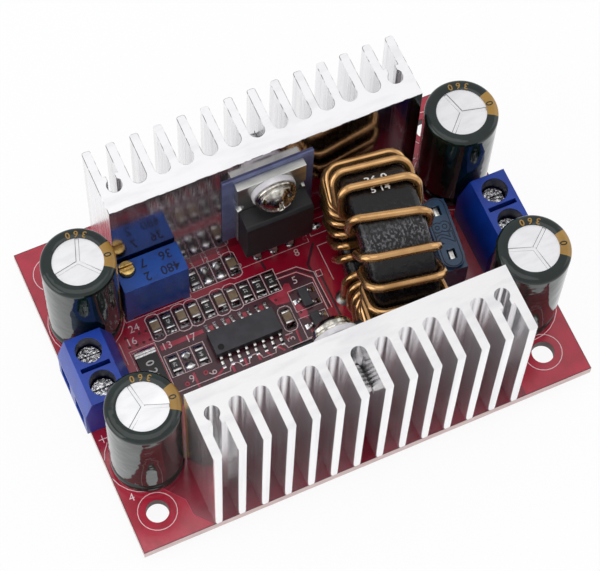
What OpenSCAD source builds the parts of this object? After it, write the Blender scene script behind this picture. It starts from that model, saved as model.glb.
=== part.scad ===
// Step-up converter module: a circuit board with two finned heatsinks, a toroidal inductor,
// four upright capacitors, two screw terminals, a fuse, a trimmer and a controller chip.
// X runs along the board, Y to its back and Z up. The part stands on the heads of the four
// screws that hold the heatsinks from below, and heights are counted from those heads.

/* [Board] */
// Length of the board
board_l = 67.4; // [61:0.1:80]
// Width of the board
board_w = 48; // [47:0.1:60]
// Thickness of the board
board_t = 1.6; // [1:0.1:2.4]
// Diameter of the four mounting holes
mount_d = 3.2; // [2.2:0.1:4]
// Distance of the left mounting holes from the left edge
mount_left = 3.95; // [3:0.05:4.5]
// Distance of the right mounting holes from the right edge
mount_right = 5.15; // [3:0.05:5.4]
// Distance of the mounting holes from the front and back edges
mount_edge = 4.85; // [3:0.05:5.2]
// Room around a lead in its hole in the board
hole_room = 0.12; // [0.05:0.01:0.25]
// How far a lead stands out below the board
lead_out = 1.2; // [0.6:0.1:1.5]
// Height of a solder joint on the underside
solder_h = 0.8; // [0.4:0.1:1.1]
// Width of the solder around a lead
solder_w = 0.6; // [0.3:0.05:0.8]

/* [Heatsinks] */
// Distance from each end of the board to the heatsinks
sink_end = 10.9; // [10.7:0.1:13.7]
// Height of each heatsink
sink_h = 25.2; // [23:0.1:40]
// Depth from the flat face to the fin tips
sink_depth = 9.8; // [8:0.1:9.8]
// Thickness of the back plate at the end of a slot
sink_base = 2.7; // [2.2:0.1:3.5]
// Number of fins
fin_count = 14; // [10:1:16]
// Thickness of a fin
fin_t = 1.24; // [0.9:0.02:1.4]
// Radius of the edges of a fin tip
fin_tip_r = 0.35; // [0.1:0.05:0.4]
// Diameter of the screw channel at each end
channel_d = 2.1; // [1.8:0.05:2.4]
// Width of the neck that opens the screw channel
channel_neck = 1.2; // [0.8:0.1:1.6]
// Length of the nibs on each side of the neck
nib_l = 0.6; // [0.3:0.1:1]
// Middle of the front heatsink along the board
front_sink_x = -0.5; // [-2:0.1:2]
// Flat face of the front heatsink
front_sink_y = -14.2; // [-14.2:0.1:-14]
// Middle of the back heatsink along the board
rear_sink_x = 0.4; // [-2:0.1:2]
// Flat face of the back heatsink
rear_sink_y = 13; // [12.9:0.1:14]

/* [Heatsink screws] */
// Room between a screw's core and its channel, on the diameter
sink_screw_fit = 0.06; // [0.04:0.02:0.2]
// Length of a screw under its head
sink_screw_l = 10; // [6:0.5:14]
// Diameter of a screw head
sink_head_d = 4.6; // [3.8:0.1:5]
// Height of a screw head
sink_head_h = 1.7; // [1.6:0.1:2.4]
// Width of a cross recess arm in every screw head
cross_w = 0.7; // [0.4:0.1:0.9]
// Depth of the cross recess
cross_depth = 0.8; // [0.4:0.1:1.1]

/* [Inductor] */
// Outer diameter of the core
core_od = 23.4; // [20:0.1:23.5]
// Inner diameter of the core
core_id = 13.8; // [12:0.1:14.5]
// Width of the core along its axis
core_h = 9.2; // [7:0.1:9.4]
// Radius of the core's edges
core_round = 1.2; // [0.6:0.1:1.8]
// Diameter of the winding wire
wire_d = 1.2; // [0.8:0.05:1.2]
// Room between the wire and the core
wire_gap = 0.06; // [0.04:0.01:0.1]
// Number of passes of the wire through the hole
turns = 20; // [12:1:20]
// Half the angle that the winding covers
wind_span = 175; // [150:1:176]
// How much the turns crowd towards the ends, 1 being even
wind_crowd = 0.85; // [0.8:0.01:1]
// Angle of the middle turn from the top
wind_centre = -5; // [-10:1:10]
// Middle of the inductor along the board
coil_x = 11.8; // [11.6:0.1:12.6]
// Middle of the inductor across the board
coil_y = -0.6; // [-0.7:0.1:-0.5]
// Angle by which the inductor is turned on the board
coil_tilt = 7; // [0:0.5:7]
// Width of the plated ring around each wire end
coil_pad_d = 2.6; // [2:0.1:3]

/* [Capacitors] */
// Diameter of a capacitor with its sleeve
cap_d = 10.25; // [8:0.05:10.5]
// Height of a capacitor
cap_h = 20; // [14:0.5:30]
// Thickness of the sleeve
sleeve_t = 0.2; // [0.15:0.05:0.3]
// Diameter of the bare disc on the top
cap_disc_d = 6.95; // [5:0.05:7.5]
// Radius of the top edge of the can
cap_edge_r = 0.6; // [0.3:0.1:1]
// Height of the crimped groove above the board
crimp_z = 2.6; // [2:0.1:4]
// Depth of the crimped groove
crimp_depth = 0.45; // [0.2:0.05:0.6]
// Half the height of the crimped groove
crimp_half = 0.8; // [0.5:0.1:1]
// Height of the can's lower edge above the board
can_rise = 0.5; // [0.3:0.1:1]
// Width of the crimped rim of the can around the seal
can_rim = 1; // [0.8:0.1:1.6]
// Height of the rubber seal
bung_h = 1.3; // [0.8:0.1:1.6]
// Width of a line of the vent score
score_w = 0.55; // [0.3:0.05:0.7]
// Depth of the vent score
score_depth = 0.12; // [0.08:0.02:0.2]
// Diameter of a capacitor lead
cap_lead_d = 0.6; // [0.5:0.05:0.8]
// Distance between the two leads of a capacitor
cap_lead_pitch = 5; // [3:0.1:5.2]
// Distance of the left capacitors' middle from the left edge
cap_left = 5.65; // [5.3:0.05:6]
// Distance of the right capacitors' middle from the right edge
cap_right = 5.3; // [5.3:0.05:6]
// Place of the front capacitors across the board
cap_front_y = -11.65; // [-12.5:0.05:-11.4]
// Place of the back capacitors across the board
cap_rear_y = 10.7; // [10.6:0.05:12]

/* [Screw terminals] */
// Distance between the two poles
pole_pitch = 5.08; // [5:0.02:5.2]
// Depth of the housing across the board edge
term_depth = 8; // [7.8:0.1:9]
// Height of the housing
term_h = 9.6; // [9.2:0.1:11]
// Height of the upright walls below the slanted sides
term_wall_h = 5.8; // [4.5:0.1:6.5]
// Width of the slanted outer side
term_slant_out = 1.15; // [0.6:0.05:1.4]
// Width of the slanted inner side
term_slant_in = 1.65; // [1:0.05:1.8]
// How far a terminal stands past the board edge
term_past = 0.5; // [0.2:0.1:0.8]
// Place of the input terminal across the board
input_y = 0; // [-0.4:0.1:0]
// Place of the output terminal across the board
output_y = -0.2; // [-0.6:0.1:0]
// Diameter of the well above a screw
well_d = 3.7; // [3.5:0.05:4]
// Width of the narrow slot between the wells
top_slot_w = 0.65; // [0.4:0.05:0.8]
// Length of the narrow slot
top_slot_l = 4.2; // [3:0.1:4.4]
// Depth of the narrow slot
top_slot_depth = 2.5; // [1:0.1:3]
// Width of a wire entry
entry_w = 3.2; // [2.6:0.1:3.6]
// Height of a wire entry
entry_h = 3.8; // [3:0.1:4.2]
// Height of the lower edge of a wire entry
entry_z = 0.8; // [0.6:0.1:1]
// Thickness of the housing floor
term_floor = 0.5; // [0.4:0.05:0.6]
// Width of the chamber of a clamp
chamber_w = 4.1; // [4:0.05:4.2]
// Thickness of the outer wall in front of a chamber
chamber_wall = 1.4; // [1.2:0.1:1.6]
// Thickness of the inner wall behind a chamber
back_wall = 0.9; // [0.7:0.1:1.1]
// Thickness of the ledge under a screw head
ledge_t = 0.5; // [0.4:0.05:0.6]
// Room around the pieces that move in the terminal
run_gap = 0.05; // [0.03:0.01:0.08]
// Diameter of a terminal screw
term_screw_d = 2.4; // [2:0.1:2.6]
// Pitch of the terminal screw's thread
term_screw_pitch = 0.45; // [0.4:0.05:0.5]
// Diameter of a terminal screw head
term_head_d = 3.4; // [3:0.05:3.45]
// Height of a terminal screw head
term_head_h = 0.9; // [0.8:0.1:1.3]
// Width of the slot in a terminal screw and in the trimmer screw
driver_slot = 0.6; // [0.4:0.05:0.8]
// Travel of a clamp
clamp_travel = 1.4; // [1:0.1:1.5]
// Thickness of the clamp's sides and floor
clamp_wall = 0.5; // [0.4:0.05:0.55]
// Thickness of the clamp's threaded top
clamp_top = 0.8; // [0.7:0.05:1]
// Length of the clamp along the wire
clamp_l = 4.2; // [3.6:0.1:4.4]
// Room for the wire in an open clamp
wire_room = 1.6; // [1.6:0.1:2.1]
// Thickness of the fixed contact
contact_t = 0.5; // [0.4:0.05:0.6]
// Width of the fixed contact
contact_w = 2.6; // [2:0.1:2.7]
// Diameter of a terminal pin
term_pin_d = 1; // [0.8:0.1:1.2]

/* [Fuse] */
// Width of the fuse
fuse_w = 10.9; // [10:0.1:11.5]
// Thickness of the fuse body
fuse_t = 3.6; // [3.2:0.1:4]
// Height of the fuse body without its top plate
fuse_body_h = 7.8; // [7:0.1:9]
// Thickness of the top plate
fuse_plate_h = 1; // [0.6:0.1:1.6]
// Width of the round-ended top plate
fuse_plate_w = 3.4; // [2.8:0.1:3.6]
// Wall at the two ends of the fuse body
fuse_end_wall = 0.55; // [0.4:0.05:0.8]
// Thickness of the blades
blade_t = 0.7; // [0.5:0.05:0.8]
// Width of a blade
blade_w = 2.8; // [2:0.1:3]
// Width of a blade where it goes through the board
blade_tip_w = 1.6; // [1:0.1:2]
// Height of the blades inside the body
blade_h = 7.2; // [5:0.1:7.4]
// How far the blades end below the top of the fuse in the test windows
blade_down = 0.35; // [0.2:0.05:1]
// Width of the fusible link
link_w = 0.8; // [0.5:0.1:1.2]
// Distance of a test window from the middle
window_x = 3.4; // [3:0.1:3.7]
// Length of a test window
window_l = 1.5; // [1:0.1:1.7]
// Width of a test window
window_w = 1.2; // [0.9:0.1:1.4]
// Place of the fuse in the room between the winding (0) and the output terminal (1)
fuse_share = 0.446; // [0.1:0.002:0.9]
// Middle of the fuse across the board
fuse_y = -0.4; // [-1:0.1:1]
// Angle by which the fuse is turned on the board
fuse_tilt = 7; // [0:0.5:8]

/* [Trimmer] */
// Length of the trimmer
trim_l = 9.5; // [9:0.1:10]
// Depth of the trimmer
trim_w = 4.5; // [4.2:0.1:4.6]
// Height of the trimmer
trim_h = 9.8; // [9:0.1:11]
// Height of the small feet under the trimmer
trim_foot = 0.4; // [0.3:0.1:0.6]
// Width of the small feet
trim_foot_w = 1; // [0.6:0.1:1.4]
// Gap between the trimmer and the capacitor beside it
trim_gap = 0.1; // [0.1:0.05:0.3]
// Middle of the trimmer across the board
trim_y = 10.45; // [10.3:0.05:10.6]
// Diameter of the trimmer screw
trim_screw_d = 2.2; // [1.8:0.1:2.4]
// How far the trimmer screw stands out
trim_screw_out = 0.9; // [0.4:0.1:1.2]
// Depth of the driver slot in the trimmer screw
trim_slot_depth = 0.6; // [0.3:0.1:1]
// How deep the trimmer screw sits in the body
trim_screw_in = 2.5; // [1.5:0.1:4]
// Distance of the trimmer screw from the left side
trim_screw_side = 1.6; // [1.4:0.1:2]
// Distance of the trimmer screw from the back side
trim_screw_back = 1.4; // [1.3:0.1:1.8]
// Diameter of a trimmer pin
trim_pin_d = 0.5; // [0.4:0.05:0.7]
// Distance between neighbouring trimmer pins
trim_pin_pitch = 2.54; // [2.4:0.02:2.6]

/* [Power packages] */
// Middle of the transistor along the board
mosfet_x = 0.4; // [-1:0.1:0.6]
// Middle of the diode along the board
diode_x = -0.8; // [-2:0.1:-0.7]
// Width of the metal tab
tab_w = 10.2; // [9.8:0.1:10.2]
// Thickness of the metal tab
tab_t = 1.3; // [1:0.1:1.5]
// Height of the tab's top edge above the board
tab_top = 20.6; // [19:0.1:22]
// Height of the whole metal plate
tab_l = 15.6; // [15:0.1:16]
// Distance of the tab hole from its top edge
tab_hole_down = 2.8; // [2.6:0.1:3.2]
// Radius of the notches in the sides of the tab
tab_notch_r = 0.9; // [0.5:0.1:1.2]
// Width of the moulded body
pack_w = 10; // [9.6:0.1:10]
// Depth of the moulded body in front of the tab
pack_d = 3.2; // [2.8:0.1:3.4]
// Height of the moulded body
pack_h = 9.2; // [8.6:0.1:9.6]
// Slope at the edges of the moulded body
pack_slope = 0.5; // [0.2:0.1:0.8]
// Distance between neighbouring leads
lead_pitch = 2.54; // [2.4:0.02:2.6]
// Width of a lead at the board
lead_w = 0.8; // [0.6:0.05:0.9]
// Width of a lead at the body
lead_shoulder_w = 1.3; // [1:0.1:1.5]
// Height of the wide end of a lead below the body
lead_shoulder_h = 2.6; // [1.5:0.1:3.4]
// Thickness of a lead
lead_t = 0.5; // [0.4:0.05:0.6]
// Distance of the leads from the tab's front face
lead_set = 1.3; // [1:0.1:1.8]
// Width of the insulating pad
pad_w = 13.5; // [12:0.1:13.6]
// Height of the insulating pad
pad_h = 18; // [16:0.1:19]
// Thickness of the insulating pad
pad_t = 0.3; // [0.2:0.05:0.4]
// How far the pad shows above the tab
pad_over = 0.8; // [0.4:0.1:1.2]
// Diameter of the fixing screw
tab_screw_d = 2.9; // [2.4:0.1:3]
// Room between the screw and the pieces that it goes through, on the diameter
tab_screw_room = 0.1; // [0.06:0.02:0.2]
// Diameter of the screw head
tab_head_d = 5.6; // [5:0.1:6]
// Height of the screw head
tab_head_h = 2; // [1.6:0.1:2.4]
// Length of the screw in the heatsink
tab_screw_in = 6.4; // [4:0.1:8]
// Diameter of the bushing's flange
bush_d = 6.4; // [6:0.1:7]
// Thickness of the bushing's flange
bush_t = 0.9; // [0.5:0.1:1.2]
// Wall of the bushing in the tab hole
bush_wall = 0.35; // [0.25:0.05:0.45]
// Diameter of the washer
washer_d = 6; // [5.8:0.1:6.4]
// Thickness of the washer
washer_t = 0.5; // [0.3:0.1:0.8]

/* [Controller chip] */
// Middle of the chip along the board
chip_x = -8.65; // [-9:0.05:-8.4]
// Middle of the chip across the board
chip_y = -0.15; // [-0.4:0.05:0]
// Length of the chip body
chip_l = 9.9; // [9.6:0.1:10.2]
// Width of the chip body
chip_w = 3.9; // [3.6:0.1:4]
// Height of the chip above the board
chip_h = 1.6; // [1.4:0.05:1.8]
// Gap under the chip body
chip_rise = 0.15; // [0.1:0.05:0.2]
// Pins on each side of the chip
chip_pins = 8; // [4:1:8]
// Distance between neighbouring pins
chip_pin_pitch = 1.27; // [1.2:0.01:1.27]
// Width of a pin
chip_pin_w = 0.42; // [0.3:0.02:0.5]
// Thickness of a pin
chip_pin_t = 0.2; // [0.15:0.01:0.25]
// Width over the tips of the two pin rows
chip_span = 6.1; // [5.8:0.1:6.4]
// Length of the foot of a pin
chip_foot = 0.6; // [0.4:0.05:0.7]
// Diameter of the mark at pin one
chip_dot_d = 0.9; // [0.5:0.1:1.2]
// Depth of the mark at pin one
chip_dot_depth = 0.1; // [0.05:0.05:0.2]
// Distance of the mark from the chip's edges
chip_dot_in = 1; // [0.8:0.1:1.4]
// Slope of the chip's long sides
chip_slope = 0.12; // [0.05:0.01:0.2]

/* [Small chips] */
// Length of a chip resistor or capacitor
smd_l = 2; // [1.6:0.1:2.2]
// Width of a chip resistor or capacitor
smd_w = 1.25; // [0.8:0.05:1.4]
// Height of a chip resistor
res_h = 0.5; // [0.4:0.05:0.7]
// Height of a chip capacitor
mlcc_h = 0.85; // [0.6:0.05:1]
// Length of a metal end
smd_end = 0.4; // [0.3:0.05:0.5]
// Distance between neighbours in the long row
row_pitch = 1.96; // [1.9:0.02:2]
// Length of the current sense resistor
shunt_l = 6.3; // [6:0.1:6.5]
// Width of the current sense resistor
shunt_w = 3.2; // [3:0.1:3.3]
// Height of the current sense resistor
shunt_h = 0.6; // [0.5:0.05:0.8]
// Place of the current sense resistor in the room between the input terminal (0) and the controller (1)
shunt_share = 0.5; // [0.1:0.05:0.6]
// Place in the same room of the short row beside it
row_c_share = 0.73; // [0.7:0.01:0.95]
// Place of the row beside the trimmer in the room between it (0) and the transistor (1)
row_b_share = 0.22; // [0.05:0.01:0.9]
// Length of the body of a small transistor
sot_l = 2.9; // [2.7:0.1:3]
// Width of the body of a small transistor
sot_w = 1.3; // [1.2:0.1:1.4]
// Height of a small transistor
sot_h = 1; // [0.9:0.05:1.1]
// Width over the lead tips of a small transistor
sot_span = 2.4; // [2.2:0.1:2.6]
// Distance between the two leads on one side
sot_pitch = 1.9; // [1.7:0.1:2]

/* [Hidden] */
$fn = 48;
// Small overlap that lets a cut run clear of a face
cut = 0.5;

// Heights of the board
board_z = sink_head_h;
top_z = board_z + board_t;
lead_z = board_z - lead_out;

// Mounting holes
mount_xs = [mount_left - board_l / 2, board_l / 2 - mount_right];
mount_y = board_w / 2 - mount_edge;
mount_places = [for (x = mount_xs, s = [-1, 1]) [x, s * mount_y]];

// Heatsink fins and slots
sink_l = board_l - 2 * sink_end;
fin_pitch = (sink_l - fin_t) / (fin_count - 1);
slot_w = fin_pitch - fin_t;
slot_count = fin_count - 1;
channel_y = sink_base + channel_d / 2;
channel_x = (slot_count - 1) / 2 * fin_pitch;
sink_screw_places = [
    for (s = [-1, 1]) [front_sink_x + s * channel_x, front_sink_y - channel_y],
    for (s = [-1, 1]) [rear_sink_x + s * channel_x, rear_sink_y + channel_y]
];
sink_screw_d = channel_d - sink_screw_fit;

// Domed heads: share of the height that is an upright rim, and of the width that the cross takes
head_rim_share = 0.3;
head_cross_share = 0.5;

// Winding: the loop that the middle of the wire follows around the core's section
wire_r = wire_d / 2;
loop_side = core_h / 2 + wire_gap + wire_r;
loop_in = core_id / 2 - wire_gap - wire_r;
loop_out = core_od / 2 + wire_gap + wire_r;
loop_r = core_round + wire_gap + wire_r;
coil_z = top_z + core_od / 2 + wire_gap + wire_d;
wire_sides = 8;
corner_steps = 4;
// Share of a turn at which the wire rounds each corner, counted from the inner leg
corner_turn = [0.2, 0.4, 0.6, 0.8];
corner_spread = 0.1;

// Capacitors: place and angle of the vent score
cap_places = [
    [cap_left - board_l / 2, cap_front_y, -20],
    [cap_left - board_l / 2, cap_rear_y, 71],
    [board_l / 2 - cap_right, cap_rear_y, -14],
    [board_l / 2 - cap_right, cap_front_y, 40]
];
can_r = cap_d / 2 - sleeve_t;
can_top = cap_h - sleeve_t;
bung_r = can_r - can_rim;
cap_lead_places = [for (c = cap_places, s = [-1, 1]) [c[0] + s * cap_lead_pitch / 2, c[1]]];

// Screw terminal, in a frame whose first axis runs out across the board edge
term_w = 2 * pole_pitch;
term_x = board_l / 2 + term_past - term_depth;
pole_u = (term_slant_in + term_depth - term_slant_out) / 2;
chamber_end = term_depth - chamber_wall;
clamp_z = term_floor + run_gap;
contact_z = clamp_z + clamp_wall + wire_room;
contact_top = contact_z + contact_t;
clamp_top_z = contact_top + run_gap;
ledge_z = clamp_top_z + clamp_top + clamp_travel + 2 * run_gap;
head_z = ledge_z + ledge_t + run_gap;
clamp_w = chamber_w - 4 * run_gap;
pin_u = back_wall + contact_t / 2;
term_pin_places = [
    for (s = [-1, 1]) [-(term_x + pin_u), input_y + s * pole_pitch / 2],
    for (s = [-1, 1]) [term_x + pin_u, output_y + s * pole_pitch / 2]
];

// Fuse
fuse_half = fuse_t / 2 * cos(fuse_tilt) + fuse_w / 2 * sin(fuse_tilt);
fuse_least_x = coil_x + (loop_side + wire_r + fuse_t / 2) / cos(coil_tilt);
fuse_x = fuse_least_x + fuse_share * (term_x - fuse_half - fuse_least_x);
blade_x = fuse_w / 2 - fuse_end_wall - blade_w / 2;
tip_h = fuse_body_h + fuse_plate_h - blade_down - blade_h;

// Trimmer
trim_x = cap_left - board_l / 2 + cap_d / 2 + trim_gap + trim_l / 2;
trim_screw_x = trim_x - trim_l / 2 + trim_screw_side;
trim_screw_y = trim_y + trim_w / 2 - trim_screw_back;
trim_pin_places = [for (s = [-1, 0, 1]) [trim_x + s * trim_pin_pitch, trim_y]];

// Power packages, in a frame whose second axis runs from the heatsink to the middle of the board
tab_y = pad_t;
pack_y = pad_t + tab_t;
pack_top = tab_top - tab_l + pack_h;
tab_hole_z = tab_top - tab_hole_down;
lead_y = pack_y + lead_set;
bush_in_d = tab_screw_d + tab_screw_room;
bush_out_d = bush_in_d + 2 * bush_wall;
tab_hole_d = bush_out_d + tab_screw_room;
washer_y = pack_y + bush_t;
tab_head_y = washer_y + washer_t;
lead_embed = 1;
tab_lead_places = [
    for (s = [-1, 0, 1]) [mosfet_x + s * lead_pitch, rear_sink_y - lead_y],
    for (s = [-1, 0, 1]) [diode_x + s * lead_pitch, front_sink_y + lead_y]
];

// Small chips: the long row, the row behind it and the row beside the controller
trim_end = trim_x + trim_l / 2;
row_b_room = mosfet_x - lead_pitch - lead_w / 2 - trim_end - 3 * row_pitch - smd_w;
row_c_room = term_x + chip_x - chip_l / 2 - shunt_w - 2 * row_pitch - smd_w;
row_a = [-19.6, 5.8];
row_b = [trim_end + row_b_share * row_b_room + smd_w / 2, 10.4];
row_c = [row_c_share * row_c_room + shunt_w + smd_w / 2 - term_x, -0.55];
res_places = [
    for (i = [1, 4, 7, 8, 9]) [row_a[0] + i * row_pitch, row_a[1]],
    [row_b[0], row_b[1]],
    for (i = [0, 2]) [row_c[0] + i * row_pitch, row_c[1]]
];
mlcc_places = [
    for (i = [0, 2, 3, 5, 6]) [row_a[0] + i * row_pitch, row_a[1]],
    [row_b[0] + 3 * row_pitch, row_b[1]],
    [-2.1, -0.3]
];
bare_places = [
    for (i = [1, 2]) [row_b[0] + i * row_pitch, row_b[1]],
    [row_c[0] + row_pitch, row_c[1]]
];
shunt_place = [shunt_share * row_c_room + shunt_w / 2 - term_x, -0.1];
sot_places = [[1.4, 1.5], [1.5, -2.55]];
bare_dome_r = 0.75;
bare_dome_h = 0.4;

// Shared shapes

// A flat rectangle with round corners, its middle at the origin
module round_rect(w, h, r) {
    square([w, h - 2 * r], center = true);
    square([w - 2 * r, h], center = true);
    for (x = [-1, 1], y = [-1, 1])
        translate([x * (w / 2 - r), y * (h / 2 - r)]) circle(r);
}

// A cross recess that cuts down from the plane below it
module cross_recess(reach) {
    for (a = [0, 90])
        rotate([0, 0, a])
            translate([-reach / 2, -cross_w / 2, -cross_depth])
                cube([reach, cross_w, cross_depth + cut]);
}

// A domed head that stands on its flat seat: a cylinder inside a ball, with a cross in its crown
module pan_head(d, h) {
    dome = h * (1 - head_rim_share);
    ball_r = (d * d / 4 + dome * dome) / (2 * dome);
    difference() {
        intersection() {
            cylinder(d = d, h = h);
            translate([0, 0, h - ball_r]) sphere(r = ball_r);
        }
        translate([0, 0, h]) cross_recess(d * head_cross_share);
    }
}

// A solder cone under the board, hollowed by the lead that is its child
module solder_cone(place, d) {
    translate([place[0], place[1], board_z - solder_h])
        difference() {
            cylinder(d1 = d + solder_w / 2, d2 = d + 2 * solder_w, h = solder_h);
            translate([0, 0, -cut]) children();
        }
}

module lead_solder(place, d) {
    solder_cone(place, d) cylinder(d = d, h = solder_h + 2 * cut);
}

// A round hole through the board
module board_hole(place, d) {
    translate([place[0], place[1], board_z - cut]) cylinder(d = d, h = board_t + 2 * cut);
}

// Board

module circuit_board() {
    color("crimson")
        difference() {
            translate([-board_l / 2, -board_w / 2, board_z]) cube([board_l, board_w, board_t]);
            for (p = mount_places) board_hole(p, mount_d);
            for (p = sink_screw_places) board_hole(p, sink_screw_d + 4 * hole_room);
            for (p = cap_lead_places) board_hole(p, cap_lead_d + 2 * hole_room);
            for (p = term_pin_places) board_hole(p, term_pin_d + 2 * hole_room);
            for (p = trim_pin_places) board_hole(p, trim_pin_d + 2 * hole_room);
            for (p = tab_lead_places) board_hole(p, norm([lead_w, lead_t]) + 2 * hole_room);
            for (p = coil_lead_places()) board_hole(p, wire_d + 2 * hole_room);
            fuse_frame()
                for (s = [-1, 1])
                    translate([s * blade_x, 0, board_z - top_z - cut])
                        blade_slot(hole_room, board_t + 2 * cut);
        }
}

// Heatsinks

// A plain slot between two fins, with a full-round inner end
module fin_slot() {
    translate([0, sink_base + slot_w / 2]) circle(d = slot_w);
    translate([-slot_w / 2, sink_base + slot_w / 2]) square([slot_w, sink_depth]);
}

// An end slot that narrows to a neck and opens into the round screw channel
module channel_slot() {
    translate([0, channel_y]) circle(d = channel_d);
    translate([-channel_neck / 2, channel_y]) square([channel_neck, sink_depth]);
    translate([-slot_w / 2, sink_base + channel_d + nib_l]) square([slot_w, sink_depth]);
}

// The section of the extrusion, with its flat face on the first axis
module sink_section() {
    difference() {
        translate([-sink_l / 2, 0]) square([sink_l, sink_depth - fin_tip_r]);
        for (i = [0:slot_count - 1])
            translate([(i - (slot_count - 1) / 2) * fin_pitch, 0])
                if (i == 0 || i == slot_count - 1) channel_slot();
                else fin_slot();
    }
    for (i = [0:fin_count - 1])
        translate([(i - (fin_count - 1) / 2) * fin_pitch, sink_depth - fin_tip_r]) {
            for (s = [-1, 1]) translate([s * (fin_t / 2 - fin_tip_r), 0]) circle(fin_tip_r);
            translate([-fin_t / 2 + fin_tip_r, -fin_tip_r])
                square([fin_t - 2 * fin_tip_r, 2 * fin_tip_r]);
        }
}

// A heatsink with the tapped hole for its power package, offset from its middle
module heatsink(screw_x) {
    difference() {
        linear_extrude(sink_h) sink_section();
        translate([screw_x, -cut, tab_hole_z])
            rotate([-90, 0, 0])
                cylinder(d = tab_screw_d + tab_screw_room, h = tab_screw_in + 2 * cut);
    }
}

module front_heatsink() {
    color("gainsboro")
        translate([front_sink_x, front_sink_y, top_z])
            mirror([0, 1, 0]) heatsink(diode_x - front_sink_x);
}

module rear_heatsink() {
    color("gainsboro")
        translate([rear_sink_x, rear_sink_y, top_z]) heatsink(mosfet_x - rear_sink_x);
}

module heatsink_screws() {
    color("silver")
        for (p = sink_screw_places)
            translate([p[0], p[1], 0]) {
                translate([0, 0, sink_head_h]) mirror([0, 0, 1]) pan_head(sink_head_d, sink_head_h);
                translate([0, 0, sink_head_h - cut]) cylinder(d = sink_screw_d, h = sink_screw_l + cut);
            }
}

// Inductor, in a frame whose first axis is the axis of the core

module coil_frame() {
    translate([coil_x, coil_y, coil_z]) rotate([0, 0, -coil_tilt]) children();
}

module inductor_core() {
    color([0.16, 0.16, 0.17])
        coil_frame()
            rotate([0, 90, 0])
                rotate_extrude($fn = 96)
                    translate([(core_od + core_id) / 4, 0])
                        round_rect((core_od - core_id) / 2, core_h, core_round);
}

// Angle around the core at a turn count, which is 0 in the middle of the winding
function coil_angle(u) =
    wind_centre - sign(u) * wind_span * pow(abs(u) / (turns / 2), wind_crowd);

// A point of the wire, and the direction around the core at that point
function coil_point(a, rho, phi) =
    [[a, rho * sin(phi), rho * cos(phi)], [0, cos(phi), -sin(phi)]];

// One rounded corner of a turn, at the turn count u of the inner leg before it
function coil_corner(c, u) =
    let (a = (c == 0 || c == 1 ? -1 : 1) * (loop_side - loop_r))
    let (rho = c == 0 || c == 3 ? loop_in + loop_r : loop_out - loop_r)
    [for (j = [0:corner_steps])
        let (turn = -90 * (c + 1) - 90 * j / corner_steps)
        let (t = corner_turn[c] + (j / corner_steps - 0.5) * corner_spread)
        coil_point(a + loop_r * cos(turn), rho + loop_r * sin(turn), coil_angle(u + t))];

first_u = 0.5 - turns / 2;
last_u = turns / 2 - 0.5;
first_corner = coil_corner(3, first_u - 1);
last_corner = coil_corner(0, last_u);

// The straight end of the wire below a point, through the board
function coil_lead(p) = [[p[0][0], p[0][1], lead_z - coil_z], p[1]];

wire_path = concat(
    [coil_lead(first_corner[0])],
    first_corner,
    [for (n = [0:turns - 2], c = [0:3]) each coil_corner(c, first_u + n)],
    last_corner,
    [coil_lead(last_corner[corner_steps])]
);

// Where the two wire ends go through the board
function coil_lead_places() =
    [for (p = [wire_path[0][0], wire_path[len(wire_path) - 1][0]])
        [coil_x + p[0] * cos(coil_tilt) + p[1] * sin(coil_tilt),
         coil_y - p[0] * sin(coil_tilt) + p[1] * cos(coil_tilt)]];

// The ring of points around one place on the wire
function wire_ring(i) =
    let (last = len(wire_path) - 1)
    let (step = wire_path[min(i + 1, last)][0] - wire_path[max(i - 1, 0)][0])
    let (along = step / norm(step))
    let (around = wire_path[i][1])
    let (flat = around - (around * along) * along)
    let (side = flat / norm(flat))
    let (up = cross(along, side))
    [for (k = [0:wire_sides - 1])
        let (turn = 360 * k / wire_sides)
        wire_path[i][0] + wire_r * (cos(turn) * side + sin(turn) * up)];

module inductor_winding() {
    rings = len(wire_path);
    points = [for (i = [0:rings - 1]) each wire_ring(i)];
    walls = [
        for (i = [0:rings - 2], k = [0:wire_sides - 1])
            let (a = i * wire_sides + k)
            let (b = i * wire_sides + (k + 1) % wire_sides)
            each [[a, a + wire_sides, b], [b, a + wire_sides, b + wire_sides]]
    ];
    start = [for (k = [0:wire_sides - 1]) k];
    end = [for (k = [wire_sides - 1:-1:0]) (rings - 1) * wire_sides + k];
    color([0.72, 0.5, 0.25])
        coil_frame() polyhedron(points, concat(walls, [start, end]), convexity = 10);
}

// Fuse, in a frame whose first axis runs along the fuse

module fuse_frame() {
    translate([fuse_x, fuse_y, top_z]) rotate([0, 0, 90 - fuse_tilt]) children();
}

module blade_slot(room, h) {
    translate([-blade_tip_w / 2 - room, -blade_t / 2 - room, 0])
        cube([blade_tip_w + 2 * room, blade_t + 2 * room, h]);
}

module fuse_housing() {
    plate_r = fuse_plate_w / 2;
    color([0.2, 0.32, 0.48])
        fuse_frame()
            difference() {
                union() {
                    translate([0, 0, fuse_body_h / 2])
                        cube([fuse_w, fuse_t, fuse_body_h], center = true);
                    translate([0, 0, fuse_body_h]) {
                        for (s = [-1, 1])
                            translate([s * (fuse_w / 2 - plate_r), 0, 0])
                                cylinder(r = plate_r, h = fuse_plate_h);
                        translate([plate_r - fuse_w / 2, -plate_r, 0])
                            cube([fuse_w - 2 * plate_r, 2 * plate_r, fuse_plate_h]);
                    }
                }
                translate([fuse_end_wall - fuse_w / 2, -blade_t / 2, -cut])
                    cube([fuse_w - 2 * fuse_end_wall, blade_t, blade_h + cut]);
                for (s = [-1, 1])
                    translate([s * window_x - window_l / 2, -window_w / 2, blade_h])
                        cube([window_l, window_w, fuse_body_h + fuse_plate_h]);
            }
}

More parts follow.
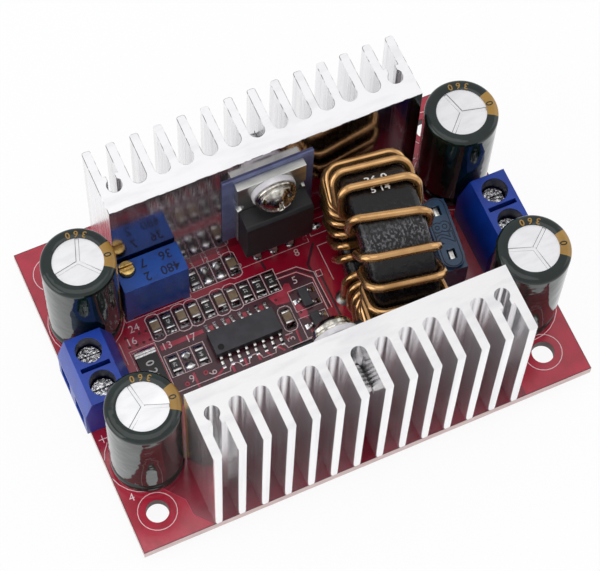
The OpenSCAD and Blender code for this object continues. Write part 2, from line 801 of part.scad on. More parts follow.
// Both blades and the thin link between them are one stamping
module fuse_blades() {
    color("silver")
        fuse_frame() {
            for (s = [-1, 1]) {
                translate([s * blade_x, 0, 0]) {
                    translate([-blade_w / 2, -blade_t / 2, 0]) cube([blade_w, blade_t, blade_h]);
                    translate([0, 0, lead_z - top_z]) blade_slot(0, top_z - lead_z + cut);
                }
                translate([s * window_x - window_l / 2 + run_gap, -blade_t / 2, blade_h - cut])
                    cube([window_l - 2 * run_gap, blade_t, tip_h + cut]);
            }
            translate([-blade_x, -blade_t / 2, blade_h - 2 * link_w]) cube([2 * blade_x, blade_t, link_w]);
        }
}

// Screw terminals

module output_frame() {
    translate([term_x, output_y, top_z]) children();
}

module input_frame() {
    translate([-term_x, input_y, top_z]) mirror([1, 0, 0]) children();
}

// The frame of one pole of a terminal: side is -1 at the front and 1 at the back
module pole(side) {
    translate([0, side * pole_pitch / 2, 0]) children();
}

module terminal_housing() {
    section = [
        [0, 0], [term_depth, 0], [term_depth, term_wall_h],
        [term_depth - term_slant_out, term_h], [term_slant_in, term_h], [0, term_wall_h]
    ];
    difference() {
        translate([0, term_w / 2, 0]) rotate([90, 0, 0]) linear_extrude(term_w) polygon(section);
        for (side = [-1, 1])
            pole(side) {
                translate([back_wall, -chamber_w / 2, term_floor])
                    cube([chamber_end - back_wall, chamber_w, ledge_z - term_floor]);
                translate([chamber_end - cut, -entry_w / 2, entry_z])
                    cube([chamber_wall + 2 * cut, entry_w, entry_h]);
                translate([pole_u, 0, ledge_z - cut])
                    cylinder(d = term_screw_d + 4 * run_gap, h = ledge_t + 2 * cut);
                translate([pole_u, 0, ledge_z + ledge_t]) cylinder(d = well_d, h = term_h);
                translate([pin_u, 0, -cut]) cylinder(d = term_pin_d, h = term_floor + 2 * cut);
            }
        translate([pole_u - top_slot_l / 2, -top_slot_w / 2, term_h - top_slot_depth])
            cube([top_slot_l, top_slot_w, top_slot_depth + cut]);
    }
}

// The fixed contact of one pole: its pin, its upright and the tongue above the wire
module terminal_contact() {
    translate([back_wall, -contact_w / 2, term_floor])
        cube([contact_t, contact_w, contact_top - term_floor]);
    translate([back_wall, -contact_w / 2, contact_z])
        cube([pole_u + clamp_l / 2 - back_wall, contact_w, contact_t]);
    translate([pin_u, 0, lead_z - top_z]) cylinder(d = term_pin_d, h = top_z - lead_z + term_floor);
}

// A captive screw, whose tip bears on the contact
module terminal_screw() {
    translate([pole_u, 0, 0])
        difference() {
            union() {
                translate([0, 0, head_z]) cylinder(d = term_head_d, h = term_head_h);
                translate([0, 0, contact_top + run_gap])
                    cylinder(d = term_screw_d, h = head_z - contact_top);
            }
            translate([-term_head_d, -driver_slot / 2, head_z + term_head_h / 2])
                cube([2 * term_head_d, driver_slot, term_head_h]);
        }
}

// The cage that rises on the screw and lifts the wire against the contact
module terminal_clamp() {
    h = clamp_top_z + clamp_top - clamp_z;
    translate([pole_u, 0, 0])
        difference() {
            translate([-clamp_l / 2, -clamp_w / 2, clamp_z]) cube([clamp_l, clamp_w, h]);
            translate([-clamp_l, clamp_wall - clamp_w / 2, clamp_z + clamp_wall])
                cube([2 * clamp_l, clamp_w - 2 * clamp_wall, clamp_top_z - clamp_z - clamp_wall]);
            translate([0, 0, clamp_top_z - cut])
                cylinder(d = term_screw_d + 2 * run_gap, h = clamp_top + 2 * cut);
        }
}

module input_terminal_housing() { color([0.2, 0.25, 0.62]) input_frame() terminal_housing(); }
module input_contacts() { color("silver") input_frame() for (s = [-1, 1]) pole(s) terminal_contact(); }
module input_screw_front() { color("silver") input_frame() pole(-1) terminal_screw(); }
module input_screw_rear() { color("silver") input_frame() pole(1) terminal_screw(); }
module input_clamp_front() { color("lightgray") input_frame() pole(-1) terminal_clamp(); }
module input_clamp_rear() { color("lightgray") input_frame() pole(1) terminal_clamp(); }
module output_terminal_housing() { color([0.2, 0.25, 0.62]) output_frame() terminal_housing(); }
module output_contacts() { color("silver") output_frame() for (s = [-1, 1]) pole(s) terminal_contact(); }
module output_screw_front() { color("silver") output_frame() pole(-1) terminal_screw(); }
module output_screw_rear() { color("silver") output_frame() pole(1) terminal_screw(); }
module output_clamp_front() { color("lightgray") output_frame() pole(-1) terminal_clamp(); }
module output_clamp_rear() { color("lightgray") output_frame() pole(1) terminal_clamp(); }

// Trimmer

module trimmer_body() {
    color([0.18, 0.36, 0.75])
        difference() {
            translate([trim_x - trim_l / 2, trim_y - trim_w / 2, top_z]) {
                translate([0, 0, trim_foot]) cube([trim_l, trim_w, trim_h - trim_foot]);
                for (x = [0, trim_l - trim_foot_w])
                    translate([x, 0, 0]) cube([trim_foot_w, trim_w, trim_foot + cut]);
            }
            translate([trim_screw_x, trim_screw_y, top_z + trim_h - trim_screw_in - run_gap])
                cylinder(d = trim_screw_d + 2 * run_gap, h = trim_screw_in + cut);
        }
}

module trimmer_screw() {
    color("goldenrod")
        translate([trim_screw_x, trim_screw_y, top_z + trim_h])
            difference() {
                translate([0, 0, -trim_screw_in]) cylinder(d = trim_screw_d, h = trim_screw_in + trim_screw_out);
                translate([-trim_screw_d, -driver_slot / 2, trim_screw_out - trim_slot_depth])
                    cube([2 * trim_screw_d, driver_slot, trim_screw_out]);
            }
}

module trimmer_pins() {
    color("silver")
        for (p = trim_pin_places)
            translate([p[0], p[1], lead_z]) cylinder(d = trim_pin_d, h = top_z + trim_foot - lead_z);
}

// Power packages

module mosfet_frame() {
    translate([mosfet_x, rear_sink_y, top_z]) mirror([0, 1, 0]) children();
}

module diode_frame() {
    translate([diode_x, front_sink_y, top_z]) children();
}

// A cylinder that runs away from the heatsink through the tab hole
module tab_axis(y) {
    translate([0, y, tab_hole_z]) rotate([-90, 0, 0]) children();
}

// The metal plate, its middle lead and the two side leads
module package_leadframe() {
    foot = tab_top - tab_l;
    difference() {
        translate([-tab_w / 2, tab_y, foot]) cube([tab_w, tab_t, tab_l]);
        tab_axis(tab_y - cut) cylinder(d = tab_hole_d, h = tab_t + 2 * cut);
        for (s = [-1, 1])
            translate([s * tab_w / 2, tab_y - cut, pack_top + tab_notch_r])
                rotate([-90, 0, 0]) cylinder(r = tab_notch_r, h = tab_t + 2 * cut);
    }
    for (s = [-1, 0, 1])
        translate([s * lead_pitch, lead_y, 0]) {
            translate([-lead_w / 2, -lead_t / 2, lead_z - top_z])
                cube([lead_w, lead_t, top_z - lead_z + foot]);
            translate([-lead_shoulder_w / 2, -lead_t / 2, foot - lead_shoulder_h])
                cube([lead_shoulder_w, lead_t, lead_shoulder_h + lead_embed]);
        }
    translate([-lead_w / 2, pack_y - cut, foot]) cube([lead_w, lead_set + cut, lead_embed]);
}

// The moulded body, with sloped edges, around the ends of the leads
module package_body() {
    d = pack_d;
    section = [
        [0, 0], [d - pack_slope, 0], [d, pack_slope],
        [d, pack_h - pack_slope], [d - pack_slope, pack_h], [0, pack_h]
    ];
    difference() {
        translate([-pack_w / 2, pack_y, tab_top - tab_l])
            rotate([90, 0, 90]) linear_extrude(pack_w) polygon(section);
        package_leadframe();
    }
}

module package_pad() {
    difference() {
        translate([-pad_w / 2, 0, tab_top + pad_over - pad_h]) cube([pad_w, pad_t, pad_h]);
        tab_axis(-cut) cylinder(d = tab_hole_d, h = pad_t + 2 * cut);
    }
}

module package_bushing() {
    difference() {
        union() {
            tab_axis(tab_y) cylinder(d = bush_out_d, h = tab_t + bush_t);
            tab_axis(pack_y) cylinder(d = bush_d, h = bush_t);
        }
        tab_axis(tab_y - cut) cylinder(d = bush_in_d, h = tab_t + bush_t + 2 * cut);
    }
}

module package_washer() {
    tab_axis(washer_y)
        difference() {
            cylinder(d = washer_d, h = washer_t);
            translate([0, 0, -cut]) cylinder(d = bush_in_d, h = washer_t + 2 * cut);
        }
}

module package_screw() {
    tab_axis(-tab_screw_in) cylinder(d = tab_screw_d, h = tab_screw_in + tab_head_y + cut);
    tab_axis(tab_head_y) pan_head(tab_head_d, tab_head_h);
}

module mosfet_body() { color([0.15, 0.15, 0.16]) mosfet_frame() package_body(); }
module mosfet_leadframe() { color("silver") mosfet_frame() package_leadframe(); }
module mosfet_pad() { color([0.45, 0.5, 0.65]) mosfet_frame() package_pad(); }
module mosfet_bushing() { color([0.88, 0.86, 0.9]) mosfet_frame() package_bushing(); }
module mosfet_screw() { color("silver") mosfet_frame() package_screw(); }
module diode_body() { color([0.15, 0.15, 0.16]) diode_frame() package_body(); }
module diode_leadframe() { color("silver") diode_frame() package_leadframe(); }
module diode_pad() { color([0.45, 0.5, 0.65]) diode_frame() package_pad(); }
module diode_bushing() { color([0.88, 0.86, 0.9]) diode_frame() package_bushing(); }
module diode_screw() { color("silver") diode_frame() package_screw(); }
module tab_washers() {
    color("silver") {
        mosfet_frame() package_washer();
        diode_frame() package_washer();
    }
}

// Capacitors

module each_capacitor() {
    for (c = cap_places) translate([c[0], c[1], top_z]) rotate([0, 0, c[2]]) children();
}

// The outside of the can, or of the sleeve where grow is the sleeve's thickness
function can_outline(grow) = concat(
    [[0, can_rise], [can_r - crimp_depth, can_rise]],
    [[can_r + grow, can_rise + crimp_depth], [can_r + grow, crimp_z - crimp_half]],
    [[can_r - crimp_depth + grow, crimp_z], [can_r + grow, crimp_z + crimp_half]],
    [for (a = [0:15:90])
        [can_r - cap_edge_r + (cap_edge_r + grow) * cos(a),
         can_top - cap_edge_r + (cap_edge_r + grow) * sin(a)]],
    [[0, can_top + grow]]
);

module capacitor_cans() {
    color("whitesmoke")
        each_capacitor()
            difference() {
                rotate_extrude() polygon(can_outline(0));
                translate([0, 0, -cut]) cylinder(r = bung_r, h = bung_h + cut);
                for (a = [0, 120, 240])
                    rotate([0, 0, a])
                        translate([0, -score_w / 2, can_top - score_depth])
                            cube([cap_disc_d / 2, score_w, score_depth + cut]);
            }
}

module capacitor_sleeves() {
    color([0.13, 0.2, 0.19])
        each_capacitor()
            rotate_extrude()
                difference() {
                    polygon(can_outline(sleeve_t));
                    polygon(can_outline(0));
                    translate([0, can_rise - cut]) square([cap_disc_d / 2, cap_h]);
                    translate([0, can_rise - cut]) square([can_r + cut, crimp_depth + cut]);
                }
}

module capacitor_bungs() {
    color([0.1, 0.1, 0.1])
        each_capacitor()
            cylinder(r = bung_r, h = bung_h);
}

module capacitor_leads() {
    color("silver")
        for (p = cap_lead_places)
            translate([p[0], p[1], lead_z]) cylinder(d = cap_lead_d, h = top_z - lead_z);
}

// Controller chip

module chip_frame() {
    translate([chip_x, chip_y, top_z]) children();
}

module controller_chip() {
    waist = (chip_rise + chip_h) / 2;
    side = chip_w / 2 - chip_slope;
    section = [
        [-side, chip_rise], [side, chip_rise], [chip_w / 2, waist],
        [side, chip_h], [-side, chip_h], [-chip_w / 2, waist]
    ];
    color([0.2, 0.21, 0.23])
        chip_frame()
            difference() {
                translate([-chip_l / 2, 0, 0]) rotate([90, 0, 90]) linear_extrude(chip_l) polygon(section);
                translate([chip_dot_in - chip_l / 2, chip_dot_in - chip_w / 2, chip_h - chip_dot_depth])
                    cylinder(d = chip_dot_d, h = chip_dot_depth + cut);
            }
}

// Gull-wing pins: out of the waist, down and along the board
module controller_pins() {
    waist = (chip_rise + chip_h) / 2;
    t = chip_pin_t;
    knee = chip_span / 2 - chip_foot;
    section = [
        [chip_w / 2, waist - t / 2], [knee - t, waist - t / 2], [knee - t, 0], [chip_span / 2, 0],
        [chip_span / 2, t], [knee, t], [knee, waist + t / 2], [chip_w / 2, waist + t / 2]
    ];
    color("silver")
        chip_frame()
            for (i = [0:chip_pins - 1], s = [-1, 1])
                translate([(i - (chip_pins - 1) / 2) * chip_pin_pitch - chip_pin_w / 2, 0, 0])
                    mirror([0, s < 0 ? 1 : 0, 0])
                        rotate([90, 0, 90]) linear_extrude(chip_pin_w) polygon(section);
}

// Small chips

module chip_core(place, h) {
    translate([place[0] - smd_w / 2, place[1] - smd_l / 2 + smd_end, top_z])
        cube([smd_w, smd_l - 2 * smd_end, h]);
}

module chip_end_pair(place, w, l, h) {
    for (y = [-l / 2, l / 2 - smd_end])
        translate([place[0] - w / 2, place[1] + y, top_z]) cube([w, smd_end, h]);
}

module chip_resistors() {
    color([0.12, 0.12, 0.13]) for (p = res_places) chip_core(p, res_h);
}

module chip_capacitors() {
    color([0.55, 0.45, 0.36]) for (p = mlcc_places) chip_core(p, mlcc_h);
}

module chip_ends() {
    color("silver") {
        for (p = res_places) chip_end_pair(p, smd_w, smd_l, res_h);
        for (p = mlcc_places) chip_end_pair(p, smd_w, smd_l, mlcc_h);
        chip_end_pair(shunt_place, shunt_w, shunt_l, shunt_h);
    }
}

module sense_resistor() {
    color([0.16, 0.18, 0.18])
        translate([shunt_place[0] - shunt_w / 2, shunt_place[1] - shunt_l / 2 + smd_end, top_z])
            cube([shunt_w, shunt_l - 2 * smd_end, shunt_h]);
}

// The legs of a small transistor: one on the left, two on the right
sot_legs = [[-1, 0], [1, -sot_pitch / 2], [1, sot_pitch / 2]];
sot_rise = 0.1;
sot_lead_t = 0.15;
sot_lead_w = 0.4;

module small_transistors() {
    color([0.18, 0.18, 0.19])
        for (p = sot_places)
            translate([p[0] - sot_w / 2, p[1] - sot_l / 2, top_z + sot_rise])
                cube([sot_w, sot_l, sot_h - sot_rise]);
}

module transistor_leads() {
    reach = (sot_span - sot_w) / 2;
    waist = (sot_h + sot_rise) / 2;
    section = [
        [0, waist], [0, waist + sot_lead_t], [reach / 2, waist + sot_lead_t],
        [reach / 2, sot_lead_t], [reach, sot_lead_t], [reach, 0],
        [reach / 2 - sot_lead_t, 0], [reach / 2 - sot_lead_t, waist]
    ];
    color("silver")
        for (p = sot_places, leg = sot_legs)
            translate([p[0] + leg[0] * sot_w / 2, p[1] + leg[1], top_z])
                mirror([leg[0] < 0 ? 1 : 0, 0, 0])
                    translate([0, sot_lead_w / 2, 0])
                        rotate([90, 0, 0]) linear_extrude(sot_lead_w) polygon(section);
}

// Solder: cones under the board, rings around the wire ends and domes on bare pads

module solder_joints() {
    color([0.78, 0.78, 0.8]) {
        for (p = cap_lead_places) lead_solder(p, cap_lead_d);
        for (p = term_pin_places) lead_solder(p, term_pin_d);
        for (p = trim_pin_places) lead_solder(p, trim_pin_d);
        for (p = coil_lead_places()) {
            lead_solder(p, wire_d);
            wire_ring_solder(p);
        }
        for (p = tab_lead_places) flat_lead_solder(p);
        fuse_frame() for (s = [-1, 1]) blade_solder(s);
        for (p = bare_places, s = [-1, 1]) bare_dome([p[0], p[1] + s * (smd_l - smd_end) / 2]);
    }
}

module wire_ring_solder(place) {
    h = solder_h / 2;
    translate([place[0], place[1], top_z])
        difference() {
            cylinder(d1 = coil_pad_d, d2 = wire_d + solder_w / 2, h = h);
            translate([0, 0, -cut]) cylinder(d = wire_d, h = h + 2 * cut);
        }
}

module flat_lead_solder(place) {
    solder_cone(place, norm([lead_w, lead_t]))
        translate([-lead_w / 2, -lead_t / 2, 0]) cube([lead_w, lead_t, solder_h + 2 * cut]);
}

module blade_solder(side) {
    translate([0, 0, -top_z])
        solder_cone([side * blade_x, 0], norm([blade_tip_w, blade_t]))
            blade_slot(0, solder_h + 2 * cut);
}

// A solder dome: the top of a sphere, standing on a bare pad
module bare_dome(place) {
    ball_r = (bare_dome_r * bare_dome_r + bare_dome_h * bare_dome_h) / (2 * bare_dome_h);
    translate([place[0], place[1], top_z])
        intersection() {
            translate([0, 0, bare_dome_h - ball_r]) sphere(ball_r);
            cylinder(r = bare_dome_r, h = bare_dome_h);
        }
}

circuit_board();
front_heatsink();
rear_heatsink();
heatsink_screws();
inductor_core();
inductor_winding();
fuse_housing();
fuse_blades();
input_terminal_housing();
input_contacts();
input_screw_front();
input_screw_rear();
input_clamp_front();
input_clamp_rear();
output_terminal_housing();
output_contacts();
output_screw_front();
output_screw_rear();
output_clamp_front();
output_clamp_rear();
trimmer_body();
trimmer_screw();
trimmer_pins();
mosfet_body();
mosfet_leadframe();
mosfet_pad();
mosfet_bushing();
mosfet_screw();
diode_body();
diode_leadframe();
diode_pad();
diode_bushing();
diode_screw();
tab_washers();
capacitor_cans();
capacitor_sleeves();
capacitor_bungs();
capacitor_leads();
controller_chip();
controller_pins();
chip_resistors();
chip_capacitors();
chip_ends();
sense_resistor();
small_transistors();
transistor_leads();
solder_joints();
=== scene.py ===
# %% [markdown]
# # A boost converter module
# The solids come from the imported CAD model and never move. This script dresses them: edges are
# eased, the wire and the film sleeves are made again with finer shapes, and copper, printing and
# solder are added. Everything is worked out in millimetres and stored in metres.

# %% The fixed frame
import math

import bmesh
import bpy
from mathutils import Matrix, Vector


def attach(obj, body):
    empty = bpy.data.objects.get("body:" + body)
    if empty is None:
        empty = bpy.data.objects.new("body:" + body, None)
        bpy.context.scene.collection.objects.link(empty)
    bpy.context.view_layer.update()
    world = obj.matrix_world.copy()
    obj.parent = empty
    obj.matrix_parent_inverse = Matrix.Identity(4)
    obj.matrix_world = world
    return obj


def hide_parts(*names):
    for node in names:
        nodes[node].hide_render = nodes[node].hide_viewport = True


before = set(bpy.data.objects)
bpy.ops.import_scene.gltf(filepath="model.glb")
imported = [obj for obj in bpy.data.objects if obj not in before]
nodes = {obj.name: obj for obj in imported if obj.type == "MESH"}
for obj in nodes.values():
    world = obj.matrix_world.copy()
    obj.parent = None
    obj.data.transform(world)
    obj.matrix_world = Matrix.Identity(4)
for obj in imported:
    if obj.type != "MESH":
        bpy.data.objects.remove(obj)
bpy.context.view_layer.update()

MM = 0.001
TOP = 3.3  # the board's upper face
print("loaded", len(nodes), "CAD nodes")

# %% [markdown]
# ## Helpers for meshes
# A CAD node arrives as loose triangles. A copy of it is merged and its flat areas are dissolved,
# so that only real edges are left; those edges then take a small bevel. A perfectly sharp edge
# never catches the light, and an eased one draws the thin bright line that real mouldings show.

# %% Copies with eased edges
def merged_copy(node):
    bm = bmesh.new()
    bm.from_mesh(nodes[node].data)
    bm.transform(Matrix.Scale(1 / MM, 4))
    bmesh.ops.remove_doubles(bm, verts=bm.verts, dist=0.002)
    bmesh.ops.dissolve_limit(bm, angle_limit=math.radians(1), verts=bm.verts, edges=bm.edges)
    return bm


def ease(bm, radius, least=35):
    """Round every edge that turns by more than the least angle in degrees."""
    sharp = [e for e in bm.edges
             if e.is_manifold and e.calc_face_angle() > math.radians(least)]
    bmesh.ops.bevel(bm, geom=sharp, offset=radius, offset_type="OFFSET", segments=2,
                    profile=0.5, affect="EDGES", clamp_overlap=True, material=-1)


# %% Pieces that ride on a body
def add_piece(name, bm, materials, body="board", stands_for=(), smooth=40):
    """Store a shape as a piece; edges that turn by more than smooth degrees stay sharp."""
    bm.transform(Matrix.Scale(MM, 4))
    mesh = bpy.data.meshes.new(name)
    bm.to_mesh(mesh)
    bm.free()
    for material in materials:
        mesh.materials.append(material)
    mesh.shade_smooth()
    mesh.set_sharp_from_angle(angle=math.radians(smooth))
    piece = bpy.data.objects.new(name, mesh)
    bpy.context.scene.collection.objects.link(piece)
    even = piece.modifiers.new("even shading", "WEIGHTED_NORMAL")
    even.keep_sharp = True
    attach(piece, body)
    if stands_for:
        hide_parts(*stands_for)
    print(name, len(mesh.polygons), "faces")


# %% [markdown]
# ## Helpers for finishes
# Every finish is a Principled shader with procedural layers: two colours mixed in blotches, a
# roughness that wanders, and often a fine bump. The blotches and the grain come from one node
# group, a noise cut to a mask. Stretching it along one axis turns it into drawn streaks.

# %% A node builder and the shared mask group
def add_node(tree, kind, inputs=None, **settings):
    made = tree.nodes.new("ShaderNode" + kind)
    for key, value in settings.items():
        setattr(made, key, value)
    for key, value in (inputs or {}).items():
        if isinstance(value, bpy.types.NodeSocket):
            tree.links.new(value, made.inputs[key])
        else:
            made.inputs[key].default_value = value
    return made


def build_mask_group():
    group = bpy.data.node_groups.new("stretched_mask", "ShaderNodeTree")
    face = group.interface
    for title, kind, value in (("Per mm", "NodeSocketVector", (1, 1, 1)),
                               ("Detail", "NodeSocketFloat", 3), ("Low", "NodeSocketFloat", 0.4),
                               ("High", "NodeSocketFloat", 0.6)):
        face.new_socket(title, in_out="INPUT", socket_type=kind).default_value = value
    face.new_socket("Mask", in_out="OUTPUT", socket_type="NodeSocketFloat")
    given = group.nodes.new("NodeGroupInput")
    place = add_node(group, "TexCoord")
    stretch = add_node(group, "VectorMath", {0: place.outputs["Object"],
                                             1: given.outputs["Per mm"]}, operation="MULTIPLY")
    in_mm = add_node(group, "VectorMath", {0: stretch.outputs[0], "Scale": 1 / MM},
                     operation="SCALE")
    cloud = add_node(group, "TexNoise", {"Vector": in_mm.outputs[0], "Scale": 1.0,
                                         "Detail": given.outputs["Detail"]})
    cut = add_node(group, "MapRange", {"Value": cloud.outputs["Fac"],
                                       "From Min": given.outputs["Low"],
                                       "From Max": given.outputs["High"]})
    result = group.nodes.new("NodeGroupOutput")
    group.links.new(cut.outputs["Result"], result.inputs["Mask"])
    return group


MASK = build_mask_group()
print("mask group with", len(MASK.nodes), "nodes")


# %% One finish
def mask(tree, per_mm, detail, low, high):
    step = (per_mm,) * 3 if isinstance(per_mm, (int, float)) else per_mm
    made = add_node(tree, "Group", node_tree=MASK)
    for key, value in (("Per mm", step), ("Detail", detail), ("Low", low), ("High", high)):
        made.inputs[key].default_value = value
    return made.outputs["Mask"]


def tone(red, green, blue):
    """A colour from 0 to 255 as a screen shows it, turned into linear light."""
    return tuple((c / 255 / 12.92) if c <= 10 else ((c / 255 + 0.055) / 1.055) ** 2.4
                 for c in (red, green, blue)) + (1.0,)


GRAIN_DEPTH = 0.02


def finish(name, colour, other, blotch, rough, grain, bump=0.0, **sockets):
    """Colour and other mix by the blotch mask; rough runs from low to high by the grain mask.
    A mask is given as noise per millimetre, detail, and the low and high ends of its cut."""
    material = bpy.data.materials.new(name)
    material.use_nodes = True
    tree = material.node_tree
    shader = tree.nodes["Principled BSDF"]
    for key, value in sockets.items():
        shader.inputs[key.replace("_", " ").title().replace("Ior", "IOR")].default_value = value
    mixed = add_node(tree, "Mix", {"Factor": mask(tree, *blotch), "A": colour, "B": other},
                     data_type="RGBA")
    fine = mask(tree, *grain)
    spread = add_node(tree, "MapRange", {"Value": fine, "To Min": rough[0], "To Max": rough[1]})
    colour_out = next(s for s in mixed.outputs if s.type == "RGBA")
    tree.links.new(colour_out, shader.inputs["Base Color"])
    tree.links.new(spread.outputs["Result"], shader.inputs["Roughness"])
    if bump:
        raised = add_node(tree, "Bump", {"Height": fine, "Strength": bump,
                                         "Distance": GRAIN_DEPTH * MM})
        tree.links.new(raised.outputs["Normal"], shader.inputs["Normal"])
    return material


FINE = (9.0, 3, 0.3, 0.7)
CLOUDS = (0.5, 3, 0.42, 0.62)

# %% [markdown]
# ## Metals
# Metals are mostly metallic and differ in roughness and in the direction of their streaks: an
# extrusion carries die lines along its length, its sawn end carries marks across, and plated
# screws are almost clean. A picture of each metal would do the same, but noise has no seams and
# stays sharp from close by.

# %% Aluminium
extruded = finish("extruded_aluminium", tone(188, 182, 187), tone(170, 164, 169),
                  ((1.1, 1.1, 0.02), 4, 0.42, 0.75), (0.08, 0.14), ((4, 4, 0.03), 2, 0.3, 0.7),
                  bump=0.2, metallic=1.0)
FIN_BLOTCH, FIN_GRAIN = ((0.9, 0.9, 0.04), 4, 0.45, 0.75), ((2.2, 2.2, 0.03), 2, 0.3, 0.7)
fin_satin = finish("satin_fins", tone(252, 251, 252), tone(240, 239, 242), FIN_BLOTCH,
                   (0.14, 0.24), FIN_GRAIN, bump=0.025, metallic=0.9)
# Painted shade: a darker copy of the fin finish, for the rear heatsink's fins.
fin_painted_shade = finish("rear_fins_painted_shade", tone(243, 242, 244), tone(228, 227, 230), FIN_BLOTCH,
                  (0.2, 0.3), FIN_GRAIN, bump=0.006, metallic=0.9)
SAW_BLOTCH = ((0.12, 0.5, 1), 4, 0.5, 0.75)
sawn = finish("sawn_aluminium", tone(233, 232, 232), tone(219, 218, 219), SAW_BLOTCH,
              (0.44, 0.56), ((1.2, 9, 1.2), 3, 0.3, 0.7), bump=0.12, metallic=1.0)
# Painted light: a lighter copy of the sawn finish, for the rear heatsink's ends.
sawn_painted_light = finish("sawn_aluminium_painted_light", tone(243, 242, 243), tone(232, 231, 233), SAW_BLOTCH,
                     (0.44, 0.56), ((1.2, 4, 1.2), 3, 0.3, 0.7), bump=0.05, metallic=1.0)
# Light and dark blotches, for the eased rim of the rear heatsink's cut.
dark_blotched_rim = finish("dark_blotched_edge", tone(232, 232, 232), tone(70, 70, 72), (0.6, 4, 0.46, 0.54),
              (0.3, 0.42), (3.0, 2, 0.3, 0.7), bump=0.2, metallic=0.6)
can_metal = finish("drawn_can", tone(232, 232, 233), tone(221, 221, 223),
                   ((0.3, 0.9, 1), 3, 0.45, 0.75), (0.3, 0.4), ((3, 10, 3), 3, 0.3, 0.7),
                   bump=0.06, metallic=0.7)
# Painted shade: a dark rim inset along each pressed groove on the cans.
score_shade = finish("groove_painted_shade", tone(104, 104, 110), tone(84, 84, 92),
                     (2.0, 3, 0.4, 0.7), (0.4, 0.5), FINE, metallic=0.7)
print("aluminium made")

# %% Plated metals, solder and wire
tab_plating = finish("plated_tab", tone(216, 218, 212), tone(192, 196, 190),
                     ((0.3, 1.2, 1.2), 3, 0.4, 0.7), (0.3, 0.38), ((0.6, 3, 3), 2, 0.3, 0.7),
                     bump=0.03, metallic=1.0)
spangle = finish("zinc_spangle", tone(236, 236, 238), tone(104, 104, 110), (2.6, 4, 0.47, 0.56),
                 (0.12, 0.34), (3.2, 3, 0.42, 0.58), bump=1.0, metallic=1.0)
chrome = finish("bright_screw_plating", tone(208, 205, 197), tone(128, 122, 110),
                (0.9, 4, 0.46, 0.66), (0.08, 0.22), (2.0, 3, 0.3, 0.7), bump=0.4, metallic=1.0)
tin = finish("tinned_metal", tone(214, 212, 208), tone(170, 168, 166), (2.0, 3, 0.45, 0.7),
             (0.18, 0.36), (12, 3, 0.3, 0.7), bump=0.15, metallic=1.0)
brass = finish("turned_brass", tone(214, 182, 112), tone(166, 134, 76), (1.5, 3, 0.45, 0.7),
               (0.2, 0.36), FINE, bump=0.15, metallic=1.0)
POOLS = (3.5, 2, 0.3, 0.7)
solder = finish("bright_solder", tone(242, 242, 242), tone(206, 205, 206), (1.6, 3, 0.45, 0.7),
                (0.12, 0.28), POOLS, bump=0.4, metallic=1.0)
# Partly the dull finish of the solder, partly painted shade: a darker copy of the solder, for the
# CAD solder joints.
dull_solder_painted_shade = finish("dull_solder_painted_shade", tone(168, 167, 164), tone(116, 114, 112),
                     (1.6, 3, 0.45, 0.7), (0.3, 0.44), POOLS, bump=0.4, metallic=1.0)
# Painted reflection and shade: dark blotches that stand for the chips' dark sides mirrored in the
# solder, and for the shade under the packages.
solder_painted_dark = finish("solder_painted_dark", tone(188, 187, 186), tone(52, 48, 50),
                     (2.4, 3, 0.44, 0.58), (0.1, 0.24), POOLS, bump=0.5, metallic=1.0)
enamel = finish("enamelled_wire", tone(196, 152, 100), tone(174, 130, 80), (0.35, 3, 0.42, 0.7),
                (0.15, 0.22), (1.5, 2, 0.3, 0.7), metallic=0.9, coat_weight=0.3,
                coat_roughness=0.1)
print("plated metals, solder and wire made")

# %% [markdown]
# ## Plastics, film and board
# Moulded plastic has a fine grain and a slow drift of colour. The shrunk film on the capacitors
# is smooth and wavy, so its bump is broad. The board is a laminate under a glossy lacquer: deep
# plum where only the lacquer lies on the laminate, red where copper lies under it.

# %% Plastics, film and ceramic
terminal_blue = finish("terminal_plastic", tone(12, 58, 158), tone(10, 50, 144), CLOUDS,
                       (0.28, 0.38), FINE, bump=0.12)
# Painted shade: a darker copy of the terminal plastic, for the faces inside the wells.
painted_well_shade = finish("terminal_well_painted_shade", tone(8, 18, 62), tone(6, 14, 50), CLOUDS, (0.4, 0.5), FINE)
trimmer_blue = finish("trimmer_plastic", tone(12, 78, 170), tone(10, 66, 150), CLOUDS,
                      (0.26, 0.38), FINE, bump=0.1)
fuse_blue = finish("fuse_plastic", tone(38, 70, 100), tone(32, 61, 90), CLOUDS, (0.16, 0.26),
                   FINE, bump=0.08, coat_weight=0.2)
# Painted shade: dark outlines that stand for the shadows along the fuse's moulded number and the
# edge of its plateau.
fuse_relief_painted_shade = finish("fuse_relief_painted_shade", tone(13, 31, 54), tone(11, 27, 48), CLOUDS, (0.2, 0.3), FINE)
MATT = (14, 3, 0.3, 0.7)
epoxy = finish("moulded_epoxy", tone(66, 65, 71), tone(55, 54, 60), CLOUDS, (0.4, 0.54), MATT,
               bump=0.25)
package_epoxy = finish("package_epoxy", tone(32, 30, 34), tone(24, 23, 26), CLOUDS, (0.42, 0.56),
                       MATT, bump=0.25)
# Painted shade: the chip's dimple is darkened to stand for the shade in its hollow.
dimple_shade = finish("chip_dimple_painted_shade", tone(16, 16, 18), tone(11, 11, 12), CLOUDS, (0.6, 0.7), FINE)
